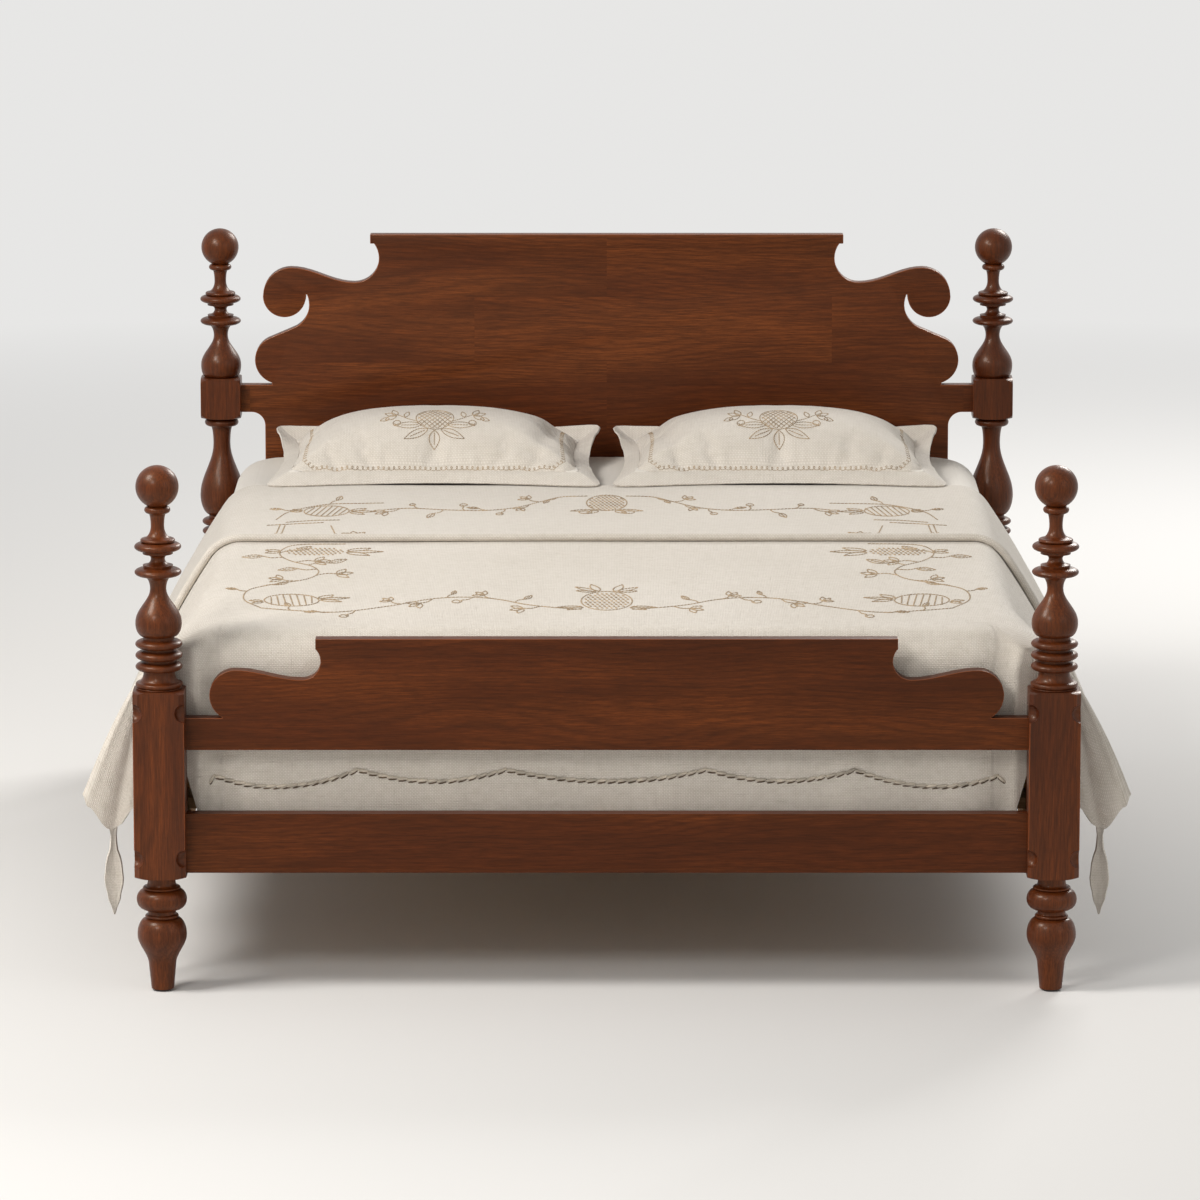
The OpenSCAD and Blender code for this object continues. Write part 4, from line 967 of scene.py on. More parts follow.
def corner_point(column, way, off):
    """A point of the side drop's end, which turns in behind the foot post."""
    hand, side = (-1 if column < 0 else 1), min(3.0, abs(column))
    hang = max(0.0, side - 2)
    edge = cloth_point(side, -LEVEL_Y, off)
    room = max(LEAST_TURN, edge.x - TURNED_IN_X)
    turn = min(1.0, way / ROUND_TO)
    y = edge.y + (CORNER_Y - edge.y) * math.sin(math.pi / 2 * turn)
    ripple = 0.0035 * hang * math.sin(math.pi * way) * (1 + math.sin(2 * math.pi * (way * 2.2 + 0.3 * hang)))
    x = edge.x - room * way
    return Vector((hand * x, y + ripple, edge.z + hang * hang * between(HEM_STEPS, way)))


def tail_point(column, across, off):
    """A point of a pointed tail, across from -1 at its outer edge to 1 at its inner edge."""
    hand, along = (-1 if column < 0 else 1), min(1.0, abs(column) - 3)
    outer, inner = (corner_point(3 * hand, way, off) for way in (TAIL_FROM, TAIL_TO))
    middle = (outer + inner) / 2
    width = between(TAIL_WIDTHS, along)
    cup = 0.004 * (1 - across * across) * math.sin(math.pi * along)
    return Vector((middle.x - hand * across * width, middle.y + cup, middle.z - TAIL_L * along))


# Each fold of the foot drop is its place, its width and its depth.
FOOT_FOLDS = (
    (-0.652, 0.011, 0.0052), (-0.620, 0.012, 0.0058), (-0.566, 0.010, -0.0018), (-0.305, 0.030, 0.0042),
    (-0.238, 0.016, -0.0018), (0.085, 0.034, 0.0038), (0.372, 0.018, -0.0018), (0.420, 0.026, 0.0048),
    (0.604, 0.012, 0.0052), (0.640, 0.013, 0.0030),
)
DOME_X, DOME_Y, DOME_FLAT, FLAP = 0.652, 0.906, 0.050, 0.25


def foot_fold(x, down):
    """How far the soft folds of the foot drop move it inwards (+Y) or outwards."""
    grown = smooth_step(down / 0.16) * math.cos(0.6 * down / 0.25)
    fold = sum(depth * math.exp(-((x - at - 0.05 * down) / width) ** 2) for at, width, depth in FOOT_FOLDS)
    return -grown * fold - 0.0006 * grown * math.sin(13.0 * x + 2.0 * math.sin(7.0 * x))


def at_arc(level, turn, arc, bend, drop, reach, off):
    """How far out and down a cloth is, at a distance along it from the dome's middle."""
    if reach <= DOME_FLAT:
        return level - DOME_FLAT + reach, off
    if reach <= DOME_FLAT + arc:
        return cloth_section(level, turn, bend, drop, (reach - DOME_FLAT) / arc, 0.0, off)
    return cloth_section(level, turn, bend, drop, 1.0, reach - DOME_FLAT - arc, off)


def dome_point(column, y, off, share=0.0, down=0.0):
    """A point of the coverlet's foot corner, which rounds like the mattress's corner under it."""
    hand, side = (-1 if column < 0 else 1), abs(column)
    plain = cloth_point(column, y, off, share, down)
    past, hang = min(1.0, max(0.0, side - 1)), min(1.0, max(0.0, side - 2))
    u = min(side, 1) * LEVEL_X - DOME_X + past * SIDE_ARC + hang * SIDE_DROP
    v = -y - DOME_Y + share * FOOT_ARC
    if u <= 0 or v <= 0 or side >= 2 + FLAP:
        return plain
    angle = math.atan2(v, u)
    reach = max(u, v)
    near = cornered(y)
    out, up = at_arc(LEVEL_X, SIDE_TURN, SIDE_ARC, SIDE_BEND, SIDE_DROP, reach, off)
    far, low = at_arc(LEVEL_Y, math.pi / 2, FOOT_ARC, FOOT_BEND, FOOT_BEND_DROP, reach, off)
    out += CORNER_FLARE * near * past * past * (1 - 0.3 * hang) - DOME_X
    far -= DOME_Y
    mixed = smooth_step(angle / (math.pi / 2))
    r, z = out + (far - out) * mixed, up + (low - up) * mixed
    shift = CORNER_SHIFT * past * near * math.cos(angle) ** 2
    domed = Vector((
        hand * (DOME_X + r * math.cos(angle)), -DOME_Y - r * math.sin(angle) - shift, CLOTH_Z + z - down,
    ))
    return domed.lerp(plain, smooth_step((side - 2) / FLAP))


def column_travel(column):
    """The distance over the cloth from its middle to a column, in metres."""
    side = abs(column)
    travel = min(side, 1) * LEVEL_X + min(max(side - 1, 0), 1) * SIDE_ARC
    travel += min(max(side - 2, 0), 1) * SIDE_DROP
    return math.copysign(travel, column)


def finish_cloth(obj, thickness):
    """Gives a sheet of points its thickness and turns it the right way."""
    outward(obj, merge=False)
    thicken(obj, thickness, offset=0, even=True)
    outward(obj, merge=False)
    shade_smooth(obj, 62)


def columns_across(drops, tails=0):
    """The columns of a cloth from hem to hem, with their own count down each drop and each tail."""
    left = [start + i / n for start, n in ((3, tails), (2, drops), (1, 8)) for i in range(n, 0, -1)]
    return [-c for c in left] + [i / 34 for i in range(-34, 35)] + left[::-1]


class TURNED_BED_OT_coverlet(bpy.types.Operator):
    """Makes the coverlet, which hangs at both sides and the foot and turns in at the corners"""

    bl_idname = "turned_bed.coverlet"
    bl_label = "Coverlet"

    thickness: length_setting("Thickness", "Thickness of the coverlet", 0.0045)
    off: length_setting("Height", "Height of the coverlet's middle over the sheet", 0.0045)

    def execute(self, context):
        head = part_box("coverlet")[1].y
        columns = columns_across(22, 12)
        stages = ((0, ROUND_TO, 4), (ROUND_TO, TAIL_FROM, 8), (TAIL_FROM, TAIL_TO, 6), (TAIL_TO, 1, 8))
        ways = [a + (b - a) * i / n for a, b, n in stages for i in range(1, n + 1)]
        rows_n, past_n = 150, len(ways)
        foot = [(i / 8, 0.0) for i in range(1, 9)]
        foot += [(1.0, FOOT_DROP * i / (past_n - 8)) for i in range(1, past_n - 7)]
        points, marks, place = [], [], {}

        def put(i, j, point, mark):
            place[i, j] = len(points)
            points.append(point)
            marks.append(mark)

        for j, column in enumerate(columns):
            side = abs(column)
            for i in range(rows_n + 1 if side <= 3 else 0):
                y = head + (-LEVEL_Y - head) * i / rows_n
                hem = max(smooth_step(1 - (3 - side) * SIDE_DROP / HEM), smooth_step(1 - (head - y) / HEM))
                soft = 0.0007 * math.sin(6.1 * column + 3 * math.sin(2.3 * y))
                soft *= math.sin(8.0 * y + 1.3 * column)
                point = dome_point(column, y, self.off + HEM_RISE * hem + soft)
                put(i, j, point, (column_travel(column), y))
            for k in range(past_n):
                i = rows_n + 1 + k
                share, down = foot[k]
                if side <= 2:
                    hem = smooth_step(1 - (FOOT_DROP - down) / HEM) if share >= 1 else 0.0
                    point = dome_point(column, -LEVEL_Y, self.off + HEM_RISE * hem, share, down)
                    point.y += foot_fold(point.x, down) * max(0.0, 2 - max(1.0, side))
                    across = point.x if side <= 1 else column_travel(column)
                    put(i, j, point, (across, -LEVEL_Y - FOOT_ARC * share - down))
                elif side <= 3:
                    flap = smooth_step((side - 2) / FLAP)
                    wrap = dome_point(math.copysign(2, column), -LEVEL_Y, self.off, share, down)
                    point = wrap.lerp(corner_point(column, ways[k], self.off), flap)
                    along = (FOOT_ARC * share + down) * (1 - flap) + TURNED_IN_L * ways[k] * flap
                    put(i, j, point, (column_travel(column), -LEVEL_Y - along))
                elif TAIL_FROM - 1e-6 <= ways[k] <= TAIL_TO + 1e-6:
                    across = 2 * (ways[k] - TAIL_FROM) / (TAIL_TO - TAIL_FROM) - 1
                    point = tail_point(column, across, self.off)
                    put(i, j, point, (column_travel(3) + TAIL_L * (side - 3), -LEVEL_Y - 0.034 * across))
        faces = []
        for (i, j) in list(place):
            ring = [(i, j), (i + 1, j), (i + 1, j + 1), (i, j + 1)]
            if all(c in place for c in ring):
                faces.append(tuple(place[c] for c in ring))
        obj = made_object("coverlet_cloth", points, faces, marks)
        finish_cloth(obj, self.thickness)
        cloth = settings("cloth")
        give(obj, cloth_material("Coverlet linen", cloth.linen, cloth.weave))
        settle(obj, "bedding", "coverlet_linen", "coverlet")
        width = 2 * column_travel(3)
        cut = 2 * FOOT_DROP * (column_travel(3) - LEVEL_X)
        return {"FINISHED"}


class TURNED_BED_OT_band(bpy.types.Operator):
    """Makes the turned-down band with its rolled fold"""

    bl_idname = "turned_bed.band"
    bl_label = "Turned-down band"

    thickness: length_setting("Thickness", "Thickness of one layer", 0.0022)
    fold_r: length_setting("Fold", "Radius of the rolled fold", 0.0066)
    under: length_setting("Under", "Width of the layer under the fold", 0.05)

    def execute(self, context):
        low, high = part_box("top_sheet")
        head, fold = high.y, low.y
        off_top, off_low = 0.0122, 0.0086
        columns = columns_across(24)
        rows = []
        top_n = 62
        for i in range(top_n + 1):
            y = head + (fold + self.fold_r - head) * i / top_n
            lift = (2 * self.fold_r - off_top + off_low) * smooth_step(1 - (y - fold) / 0.06)
            rows.append((y, off_top + lift))
        for i in range(1, 9):
            a = math.pi * i / 8
            rows.append((fold + self.fold_r * (1 - math.sin(a)), off_low + self.fold_r * (1 + math.cos(a))))
        for i in range(1, 9):
            rows.append((fold + self.fold_r + (self.under - self.fold_r) * i / 8, off_low))
        points, marks, travel = [], [], 0.0
        for i, (y, off) in enumerate(rows):
            if i:
                travel += math.hypot(y - rows[i - 1][0], off - rows[i - 1][1])
            for column in columns:
                soft = 0.0006 * math.sin(4.3 * column + 5 * y) * math.sin(7.0 * y - 1.1 * column)
                sway = 0.004 * math.sin(1.9 * column + 0.6) * smooth_step((head - y) / (head - fold))
                points.append(cloth_point(column, y + sway, off + (soft if i <= top_n else 0)))
                marks.append((column_travel(column), -travel))
        width = len(columns)
        faces = [
            (i * width + j, (i + 1) * width + j, (i + 1) * width + j + 1, i * width + j + 1)
            for i in range(len(rows) - 1) for j in range(width - 1)
        ]
        obj = made_object("top_sheet_band", points, faces, marks)
        finish_cloth(obj, self.thickness)
        cloth = settings("cloth")
        linen = tinted(cloth.linen, 0.95)
        give(obj, cloth_material("Band linen", linen, cloth.weave, slub=0.8, contrast=0.16))
        settle(obj, "bedding", "band_linen", "top_sheet")
        2 * column_travel(3)
        return {"FINISHED"}


# Pillows and shams

DRAW_IN = 0.035
FLANGE = 0.046
SHAM_SEAM = 0.0364
CROWN_SHARE, BELLY_SHARE = 0.94, 1.12


def drawn(a, b, u, v):
    """A place on a cushion's outline, whose sides draw in between the corners."""
    return (a * u * (1 - DRAW_IN * u * u * (1 - v * v)), b * v * (1 - 2 * DRAW_IN * v * v * (1 - u * u)))


def crown(u, v):
    return max(0.0, (1 - abs(u) ** 3) * (1 - abs(v) ** 3)) ** 0.6


def cushion_grid(name, a, b, top, bottom):
    """A closed cushion round the origin, and the indices of its seam points, in order."""
    across, along = 72, 50
    us = [math.sin(math.pi * (i / across - 0.5)) for i in range(across + 1)]
    vs = [math.sin(math.pi * (i / along - 0.5)) for i in range(along + 1)]
    points, marks, index = [], [], {}
    for layer, rise, full in ((0, top, 1.0), (1, -bottom, 1.6)):
        for j, v in enumerate(vs):
            for i, u in enumerate(us):
                rim = i in (0, across) or j in (0, along)
                if layer and rim:
                    index[1, i, j] = index[0, i, j]
                    continue
                x, y = drawn(a, b, u, v)
                index[layer, i, j] = len(points)
                points.append((x, y, rise * min(1.0, full * crown(u, v))))
                marks.append((x, y))
    faces = []
    for layer in (0, 1):
        for j in range(along):
            for i in range(across):
                ring = [index[layer, i, j], index[layer, i + 1, j],
                        index[layer, i + 1, j + 1], index[layer, i, j + 1]]
                faces.append(tuple(ring if layer == 0 else ring[::-1]))
    seam = [index[0, i, 0] for i in range(across)] + [index[0, across, j] for j in range(along)]
    seam += [index[0, i, along] for i in range(across, 0, -1)]
    seam += [index[0, 0, j] for j in range(along, 0, -1)]
    return made_object(name, points, faces, marks), seam


def filled(obj, seam):
    """Fills a cushion by cloth simulation, with its seam held, and applies the result."""
    pillow = settings("pillow")
    start = points_of(obj)
    held = obj.vertex_groups.new(name="Seam")
    held.add(seam, 1.0, "REPLACE")
    cloth = obj.modifiers.new("Filling", "CLOTH")
    for name, value in {
        "quality": 6, "mass": 0.25, "tension_stiffness": 18, "compression_stiffness": 18,
        "shear_stiffness": 6, "bending_stiffness": 0.35, "use_pressure": True,
        "uniform_pressure_force": pillow.pressure, "shrink_min": -0.035, "vertex_group_mass": "Seam",
    }.items():
        setattr(cloth.settings, name, value)
    cloth.settings.effector_weights.gravity = 0
    cloth.collision_settings.use_collision = False
    scene = bpy.context.scene
    cloth.point_cache.frame_start = 1
    cloth.point_cache.frame_end = pillow.steps
    for step in range(1, pillow.steps + 1):
        scene.frame_set(step)
    apply_modifiers(obj)
    moved = points_of(obj)
    scene.frame_set(1)
    way = moved - start
    length = np.linalg.norm(way, axis=1)
    way *= np.minimum(1.0, pillow.reach / np.maximum(length, 1e-9))[:, None]
    set_points(obj, start + way)


def sham_flange(points):
    """Rows of points outwards from the seam: a flat border whose corners stand up as ears.
    u and v run from -1 to 1 across and along the pillow."""
    centre = points.mean(0)
    half = np.abs(points - centre).max(0)
    rows = []
    for k in range(8):
        share = k / 7
        row = []
        for p in points:
            u, v = (p[0] - centre[0]) / half[0], (p[1] - centre[1]) / half[1]
            out = np.array([math.copysign(max(0.0, abs(u) - 0.90) / 0.10, u),
                            math.copysign(max(0.0, abs(v) - 0.87) / 0.13, v)])
            out = np.clip(out, -1, 1)
            out /= max(1.0, np.hypot(*out) / 1.16)
            back, front = smooth_step((v - 0.1) / 0.8), smooth_step((-v - 0.3) / 0.6)
            end, wide = smooth_step((abs(u) - 0.80) / 0.2), smooth_step((abs(u) - 0.5) / 0.35)
            lift = 0.024 * back * wide - 0.0208 * front - 0.012 * end * (1 - back) * (1 - front)
            lift -= 0.010 * back * (1 - wide)
            wave = 0.0022 * math.sin(23 * u + 4 * v) * math.sin(17 * v + 2 * u + 1.0)
            wave = abs(wave) * 0.2 if v < -0.5 else wave
            fall = share ** 1.35
            row.append((p[0] + FLANGE * share * out[0], p[1] + FLANGE * share * out[1],
                        p[2] + lift * fall + wave * share))
        rows.append(row)
    return rows


class TURNED_BED_OT_pillows(bpy.types.Operator):
    """Makes the two pillows in their flanged shams, filled by cloth simulation"""

    bl_idname = "turned_bed.pillows"
    bl_label = "Pillows and shams"

    wall: length_setting("Wall", "Thickness of the sham's cloth", 0.0028)
    flange_t: length_setting("Flange", "Thickness of the flange", 0.0032)

    def execute(self, context):
        pillow, cloth = settings("pillow"), settings("cloth")
        linen = cloth_material("Sham linen", cloth.linen, cloth.weave, slub=0.9, contrast=0.16)
        cotton = cloth_material("Pillow cotton", cloth.cotton, 0.0011, slub=0.3,
                                contrast=0.05, bump=0.3, fuzz=0.2)
        low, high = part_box("sham_left")
        inner_low, inner_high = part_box("pillow_left")
        middle = (low + high) / 2
        a = (inner_high.x - inner_low.x) / 2 + self.wall
        b = (inner_high.y - inner_low.y) / 2 + self.wall
        seam_z = low.z + SHAM_SEAM
        top, bottom = CROWN_SHARE * (high.z - seam_z), seam_z - low.z
        blank, seam = cushion_grid("sham_blank", a, b, top * pillow.start, bottom * pillow.start)
        filled(blank, seam)
        shape = points_of(blank)
        tall, deep = shape[:, 2].max(), -shape[:, 2].min()
        z = shape[:, 2]
        z = np.where(z > 0, z * top / tall, z * bottom * BELLY_SHARE / deep)
        shape[:, 2] = np.maximum(z, -bottom)
        for side, hand in SIDES:
            moved = shape * np.array([-hand, 1, 1]) + np.array([hand * abs(middle.x), middle.y, seam_z])
            sham = added(f"sham_{side}_cloth", blank.data.copy())
            set_points(sham, creased(moved, hand, middle, seam_z, high.z))
            inner = added(f"pillow_{side}_body", sham.data.copy())
            outward(inner)
            normals = np.zeros(len(inner.data.vertices) * 3, np.float32)
            inner.data.vertices.foreach_get("normal", normals)
            set_points(inner, points_of(inner) - normals.reshape(-1, 3) * self.wall)
            give(inner, cotton)
            shade_smooth(inner, 180)
            settle(inner, f"pillow_set_{side}", "pillow_cotton", f"pillow_{side}")
            border = flange_object(side, points_of(sham)[seam], self.flange_t)
            subdivide(sham)
            pick(sham, border)
            bpy.ops.object.join()
            outward(sham)
            give(sham, linen)
            shade_smooth(sham, 180)
            settle(sham, f"pillow_set_{side}", "sham_linen", f"sham_{side}")
        bpy.data.objects.remove(blank)
        return {"FINISHED"}


def subdivide(obj):
    modifier = obj.modifiers.new("Smooth cloth", "SUBSURF")
    modifier.levels = modifier.render_levels = 1
    apply_modifiers(obj)


def creased(points, hand, middle, seam_z, top_z):
    """Adds the soft creases of a plumped pillow: pulls at the corners and a pinch at one end."""
    out = points.copy()
    for i, (x, y, z) in enumerate(points):
        if z <= seam_z:
            continue
        u = (x - hand * abs(middle.x)) / 0.29 * -hand
        v = (y - middle.y) / 0.20
        height = (z - seam_z) / (top_z - seam_z)
        slope = 4 * height * (1 - height)
        pinch = math.exp(-((u - 0.80 - 0.10 * v) / 0.07) ** 2) * smooth_step((1 - abs(v)) * 2)
        pulls = 0.0
        for cu, cv in ((-1, -1), (1, -1), (-1, 1), (1, 1)):
            du, dv = u - cu, v - cv
            r = math.hypot(du, dv * 0.7)
            angle = math.atan2(dv, du)
            pulls += math.exp(-((r - 0.32) / 0.22) ** 2) * math.sin(angle * 11 + cu * 1.3)
        soft = math.sin(5.1 * u + 2.2 * math.sin(2.0 * v)) * math.sin(3.3 * v + 0.7)
        out[i, 2] = z - 0.011 * pinch * slope + 0.0022 * pulls * slope + 0.0014 * soft * slope
    return out


def flange_object(side, seam_points, thickness):
    rows = sham_flange(seam_points)
    n = len(seam_points)
    points = [p for row in rows for p in row]
    faces = [
        (k * n + i, k * n + (i + 1) % n, (k + 1) * n + (i + 1) % n, (k + 1) * n + i)
        for k in range(len(rows) - 1) for i in range(n)
    ]
    obj = made_object(f"sham_{side}_flange", points, faces, [(p[0], p[1]) for p in points])
    finish_cloth(obj, thickness)
    return obj


# Embroidery. Strokes are lines of [x, y] in metres on a flat pattern, which is then laid on the
# cloth along a direction, and followed by raised stitches. Sizes of stitches are length, width, height.

KNOT_STITCH = (0.0105, 0.0050, 0.0034)
BORDER_STITCH = (0.020, 0.0062, 0.0080)
# Size of the dark stitches under the couched border, which are painted shadow.
ROPE_SHADOW_STITCH = (0.0150, 0.0036, 0.0030)
MOTIF_STITCH = (0.0055, 0.0021, 0.0021)
LOOP_STITCH = (0.0042, 0.0017, 0.0017)
LOOP_PITCH, LOOP_R = 0.0105, 0.0044
LAY_STEP, SHORTEST_STITCH, LONGEST_GAP = 0.002, 0.0006, 2.5
BEAD_LONG, OVERLAP, PROUD = 1.12, 1.25, 0.12
FLAT = ((0, 0, 1.0), (1, 0, 0), (0, 1, 0))
FOOT = ((0, -1.5, 0), (1, 0, 0), (0, 0, 1))


def spline(points, n=10):
    """A smooth line through the points."""
    pts = [np.array(p, float) for p in points]
    pts = [2 * pts[0] - pts[1]] + pts + [2 * pts[-1] - pts[-2]]
    line = []
    for a, b, c, d in zip(pts, pts[1:], pts[2:], pts[3:]):
        for i in range(n):
            t = i / n
            line.append(0.5 * (2 * b + (c - a) * t + (2 * a - 5 * b + 4 * c - d) * t ** 2
                               + (3 * b - a - 3 * c + d) * t ** 3))
    return line + [pts[-2]]


def turned(points, angle, x, y, width=1.0, height=1.0):
    """A motif turned, stretched and moved to its place."""
    c, s = math.cos(angle), math.sin(angle)
    return [np.array((x + width * (c * p[0] - s * p[1]), y + height * (s * p[0] + c * p[1]))) for p in points]


def leaf(length, width, vein=True):
    """A pointed leaf from the origin along +X, with its vein."""
    edge = [(length * i / 10, width * math.sin(math.pi * (i / 10) ** 0.85)) for i in range(11)]
    strokes = [edge, [(x, -y) for x, y in edge]]
    if vein:
        strokes.append([(length * 0.12, 0), (length * 0.75, 0)])
    return strokes


def curl(radius):
    """A small open curl that starts at the origin and turns a little more than once."""
    stroke = []
    for i in range(17):
        t = i / 16
        angle, reach = 1.15 * 2 * math.pi * t, 1 - 0.4 * t
        stroke.append((radius * (1 - reach * math.cos(angle)), radius * reach * math.sin(angle)))
    return [stroke]


def blossom(size):
    """A small flower with three petals fanned out from the origin."""
    petal = leaf(size, size * 0.24, False)
    return [turned(stroke, math.radians(degrees), 0, 0) for degrees in (-50, 0, 50) for stroke in petal]


def ring(width, height, n=30):
    return [(width * math.cos(a), height * math.sin(a)) for a in (2 * math.pi * i / n for i in range(n + 1))]


def knots(width, height, across, along, long):
    """Knots that fill an oval round the origin: short stitches in staggered rows."""
    strokes = []
    for row in range(-int(height / along), int(height / along) + 1):
        for column in range(-int(width / across) - 1, int(width / across) + 1):
            x, y = (column + 0.5 * (row % 2)) * across, row * along
            if (x / width) ** 2 + (y / height) ** 2 < 0.80:
                strokes.append([(x, y - 0.5 * long), (x, y + 0.5 * long)])
    return strokes


def mirrored(strokes):
    return strokes + [[(-p[0], p[1]) for p in stroke] for stroke in strokes]


def placed(strokes, x, y, angle=0.0, width=1.0, height=1.0):
    return [turned(s, angle, x, y, width, height) for s in strokes]


def surface_of(obj):
    return BVHTree.FromObject(obj, bpy.context.evaluated_depsgraph_get())


def laid(tree, strokes, origin, right, up):
    """Lays flat strokes on a cloth, along the pattern's own direction, as points with normals."""
    origin, right, up = Vector(origin), Vector(right), Vector(up)
    toward = -right.cross(up).normalized()
    lines = []
    for stroke in strokes:
        found = []
        stroke = [tuple(map(float, p)) for p in stroke]
        for a, b in zip(stroke, stroke[1:] + stroke[-1:]):
            steps = max(1, int(math.dist(a, b) / LAY_STEP))
            for i in range(steps):
                x, y = (a[c] + (b[c] - a[c]) * i / steps for c in range(2))
                hit, normal, _, _ = tree.ray_cast(origin + right * x + up * y, toward)
                if hit is not None:
                    found.append((hit, normal if normal.dot(toward) < 0 else -normal))
        lines.append(found)
    return lines


def travelled(places):
    """The distance along a line to each of its places."""
    return np.cumsum([0] + [(b - a).length for a, b in zip(places, places[1:])])


def value_at(at, travel, values):
    """The value at a distance along a line, from the values at its places."""
    return np.array([np.interp(at, travel, values[:, c]) for c in range(3)])


def stitched(name, body, slot, lines, material, size=None, slant=None, gap=1.0):
    """Follows lines of points and normals with raised stitches, all in one piece on a body."""
    look = settings("stitch")
    length, width, height = size or (look.length, look.width, look.height)
    slant = look.slant if slant is None else slant
    bpy.ops.mesh.primitive_uv_sphere_add(segments=6, ring_count=4, radius=0.5)
    bead = bpy.context.object
    base = points_of(bead)[:, [2, 0, 1]]
    base[:, 0] *= BEAD_LONG
    base_faces = sorted(tuple(p.vertices) for p in bead.data.polygons)
    bpy.data.objects.remove(bead)
    points, faces = [], []
    for found in lines:
        if len(found) < 2:
            continue
        travel = travelled([f[0] for f in found])
        count = max(1, round(travel[-1] / (length * gap)))
        places = np.array([f[0] for f in found])
        normals = np.array([f[1] for f in found])
        for k in range(count):
            near, far = travel[-1] * k / count, travel[-1] * (k + 1) / count
            a, b = value_at(near, travel, places), value_at(far, travel, places)
            up_way = value_at((near + far) / 2, travel, normals)
            along = b - a
            reach = np.linalg.norm(along)
            if not SHORTEST_STITCH <= reach <= LONGEST_GAP * length:
                continue
            along /= reach
            up_way -= along * (up_way @ along)
            up_way /= np.linalg.norm(up_way)
            aside = np.cross(up_way, along)
            turned_along = along * math.cos(slant) + aside * math.sin(slant)
            turned_aside = np.cross(up_way, turned_along)
            long_way = min(length, reach * OVERLAP)
            block = (base[:, :1] * long_way * turned_along + base[:, 1:2] * width * turned_aside
                     + base[:, 2:] * height * up_way)
            first = len(points)
            points.extend((a + b) / 2 + block + up_way * height * PROUD)
            faces.extend(tuple(first + v for v in f) for f in base_faces)
    obj = made_object(name, points, faces)
    give(obj, material)
    shade_smooth(obj, 180)
    return settle(obj, body, slot)


def sprig(x, y, angle, kind, size):
    """A stalk from a vine with a leaf, a curl or a blossom at its end."""
    way = np.array((math.cos(angle), math.sin(angle)))
    side = np.array((-way[1], way[0]))
    stem = spline([(0, 0), way * size * 0.6 + side * size * 0.18, way * size * 1.1])
    tip = way * size * 1.1
    if kind == "leaf":
        ends = placed(leaf(size * 1.1, size * 0.25), *tip, angle + 0.3)
    elif kind == "curl":
        ends = placed(curl(size * 0.42), *tip, angle)
    else:
        ends = placed(blossom(size * 0.85), *tip, angle)
    return placed([stem] + ends, x, y, height=TALL)


def vine(points, sprigs):
    """A vine with sprigs. Each sprig is [share of the vine, angle in degrees, kind, size]."""
    line = spline(points, 14)
    strokes = [line]
    for share, degrees, kind, size in sprigs:
        x, y = line[min(len(line) - 1, int(share * (len(line) - 1)))]
        strokes += sprig(x, y, math.radians(degrees), kind, size)
    return strokes


# The photograph looks along the bed, so sprigs are drawn this much taller than wide.
TALL = 1.9

COVERLET_STEM = [(-0.046, -0.795), (-0.10, -0.775), (-0.15, -0.745), (-0.195, -0.70), (-0.25, -0.675),
                 (-0.32, -0.69), (-0.40, -0.765), (-0.49, -0.825), (-0.57, -0.81), (-0.63, -0.785)]
COVERLET_SPRIGS = [(0.16, 200, "blossom", 0.030), (0.27, 40, "leaf", 0.022), (0.36, 135, "blossom", 0.026),
                   (0.44, 215, "curl", 0.024), (0.52, 60, "leaf", 0.018), (0.56, 225, "blossom", 0.030),
                   (0.64, 140, "blossom", 0.024), (0.74, 235, "curl", 0.022), (0.80, 170, "leaf", 0.022),
                   (0.90, 100, "leaf", 0.020)]
CORNER_STEM = [(-0.63, -0.785), (-0.665, -0.70), (-0.662, -0.60), (-0.62, -0.54), (-0.56, -0.485),
               (-0.54, -0.415), (-0.556, -0.35), (-0.596, -0.298), (-0.62, -0.235), (-0.618, -0.17),
               (-0.59, -0.12), (-0.50, -0.11)]
CORNER_SPRIGS = [(0.17, 150, "leaf", 0.020), (0.24, 20, "leaf", 0.026), (0.34, 165, "blossom", 0.030),
                 (0.42, 10, "blossom", 0.036), (0.50, 175, "leaf", 0.034), (0.57, 15, "leaf", 0.036),
                 (0.62, 8, "blossom", 0.034), (0.70, 170, "leaf", 0.036), (0.76, 25, "leaf", 0.032)]
BAND_STEM = [(-0.038, 0.395), (-0.09, 0.385), (-0.13, 0.33), (-0.18, 0.26), (-0.24, 0.228), (-0.31, 0.235),
             (-0.39, 0.255), (-0.44, 0.235)]
BAND_SPRIGS = [(0.18, 225, "leaf", 0.020), (0.30, 140, "blossom", 0.026), (0.36, 235, "blossom", 0.022),
               (0.48, 250, "curl", 0.020), (0.56, 150, "leaf", 0.022), (0.66, 95, "curl", 0.022),
               (0.74, 230, "leaf", 0.026), (0.82, 120, "curl", 0.018), (0.90, 215, "blossom", 0.030)]
BAND_CORNER_STEM = [(-0.645, 0.12), (-0.628, 0.20), (-0.60, 0.25), (-0.55, 0.30), (-0.49, 0.31),
                    (-0.44, 0.315)]


def striped_fruit(x, y, width, height, angle):
    """A fruit lying on its side, with slanting stripes and a crown of leaves."""
    strokes = [ring(width, height, 26)]
    for k in range(-3, 4):
        c = k / 4
        rim = math.sqrt(1 - c * c) * 0.92
        strokes.append([((c - 0.12) * width, -rim * height), ((c + 0.12) * width, rim * height)])
    strokes += crowned(width * 0.85, 0, (width * 0.9, width * 1.1, width * 0.9), (-38, 2, 42), height * 0.15)
    strokes += crowned(-width * 0.85, 0, (width * 0.5, width * 0.5), (158, 204), height * 0.13)
    return placed(strokes, x, y, angle)


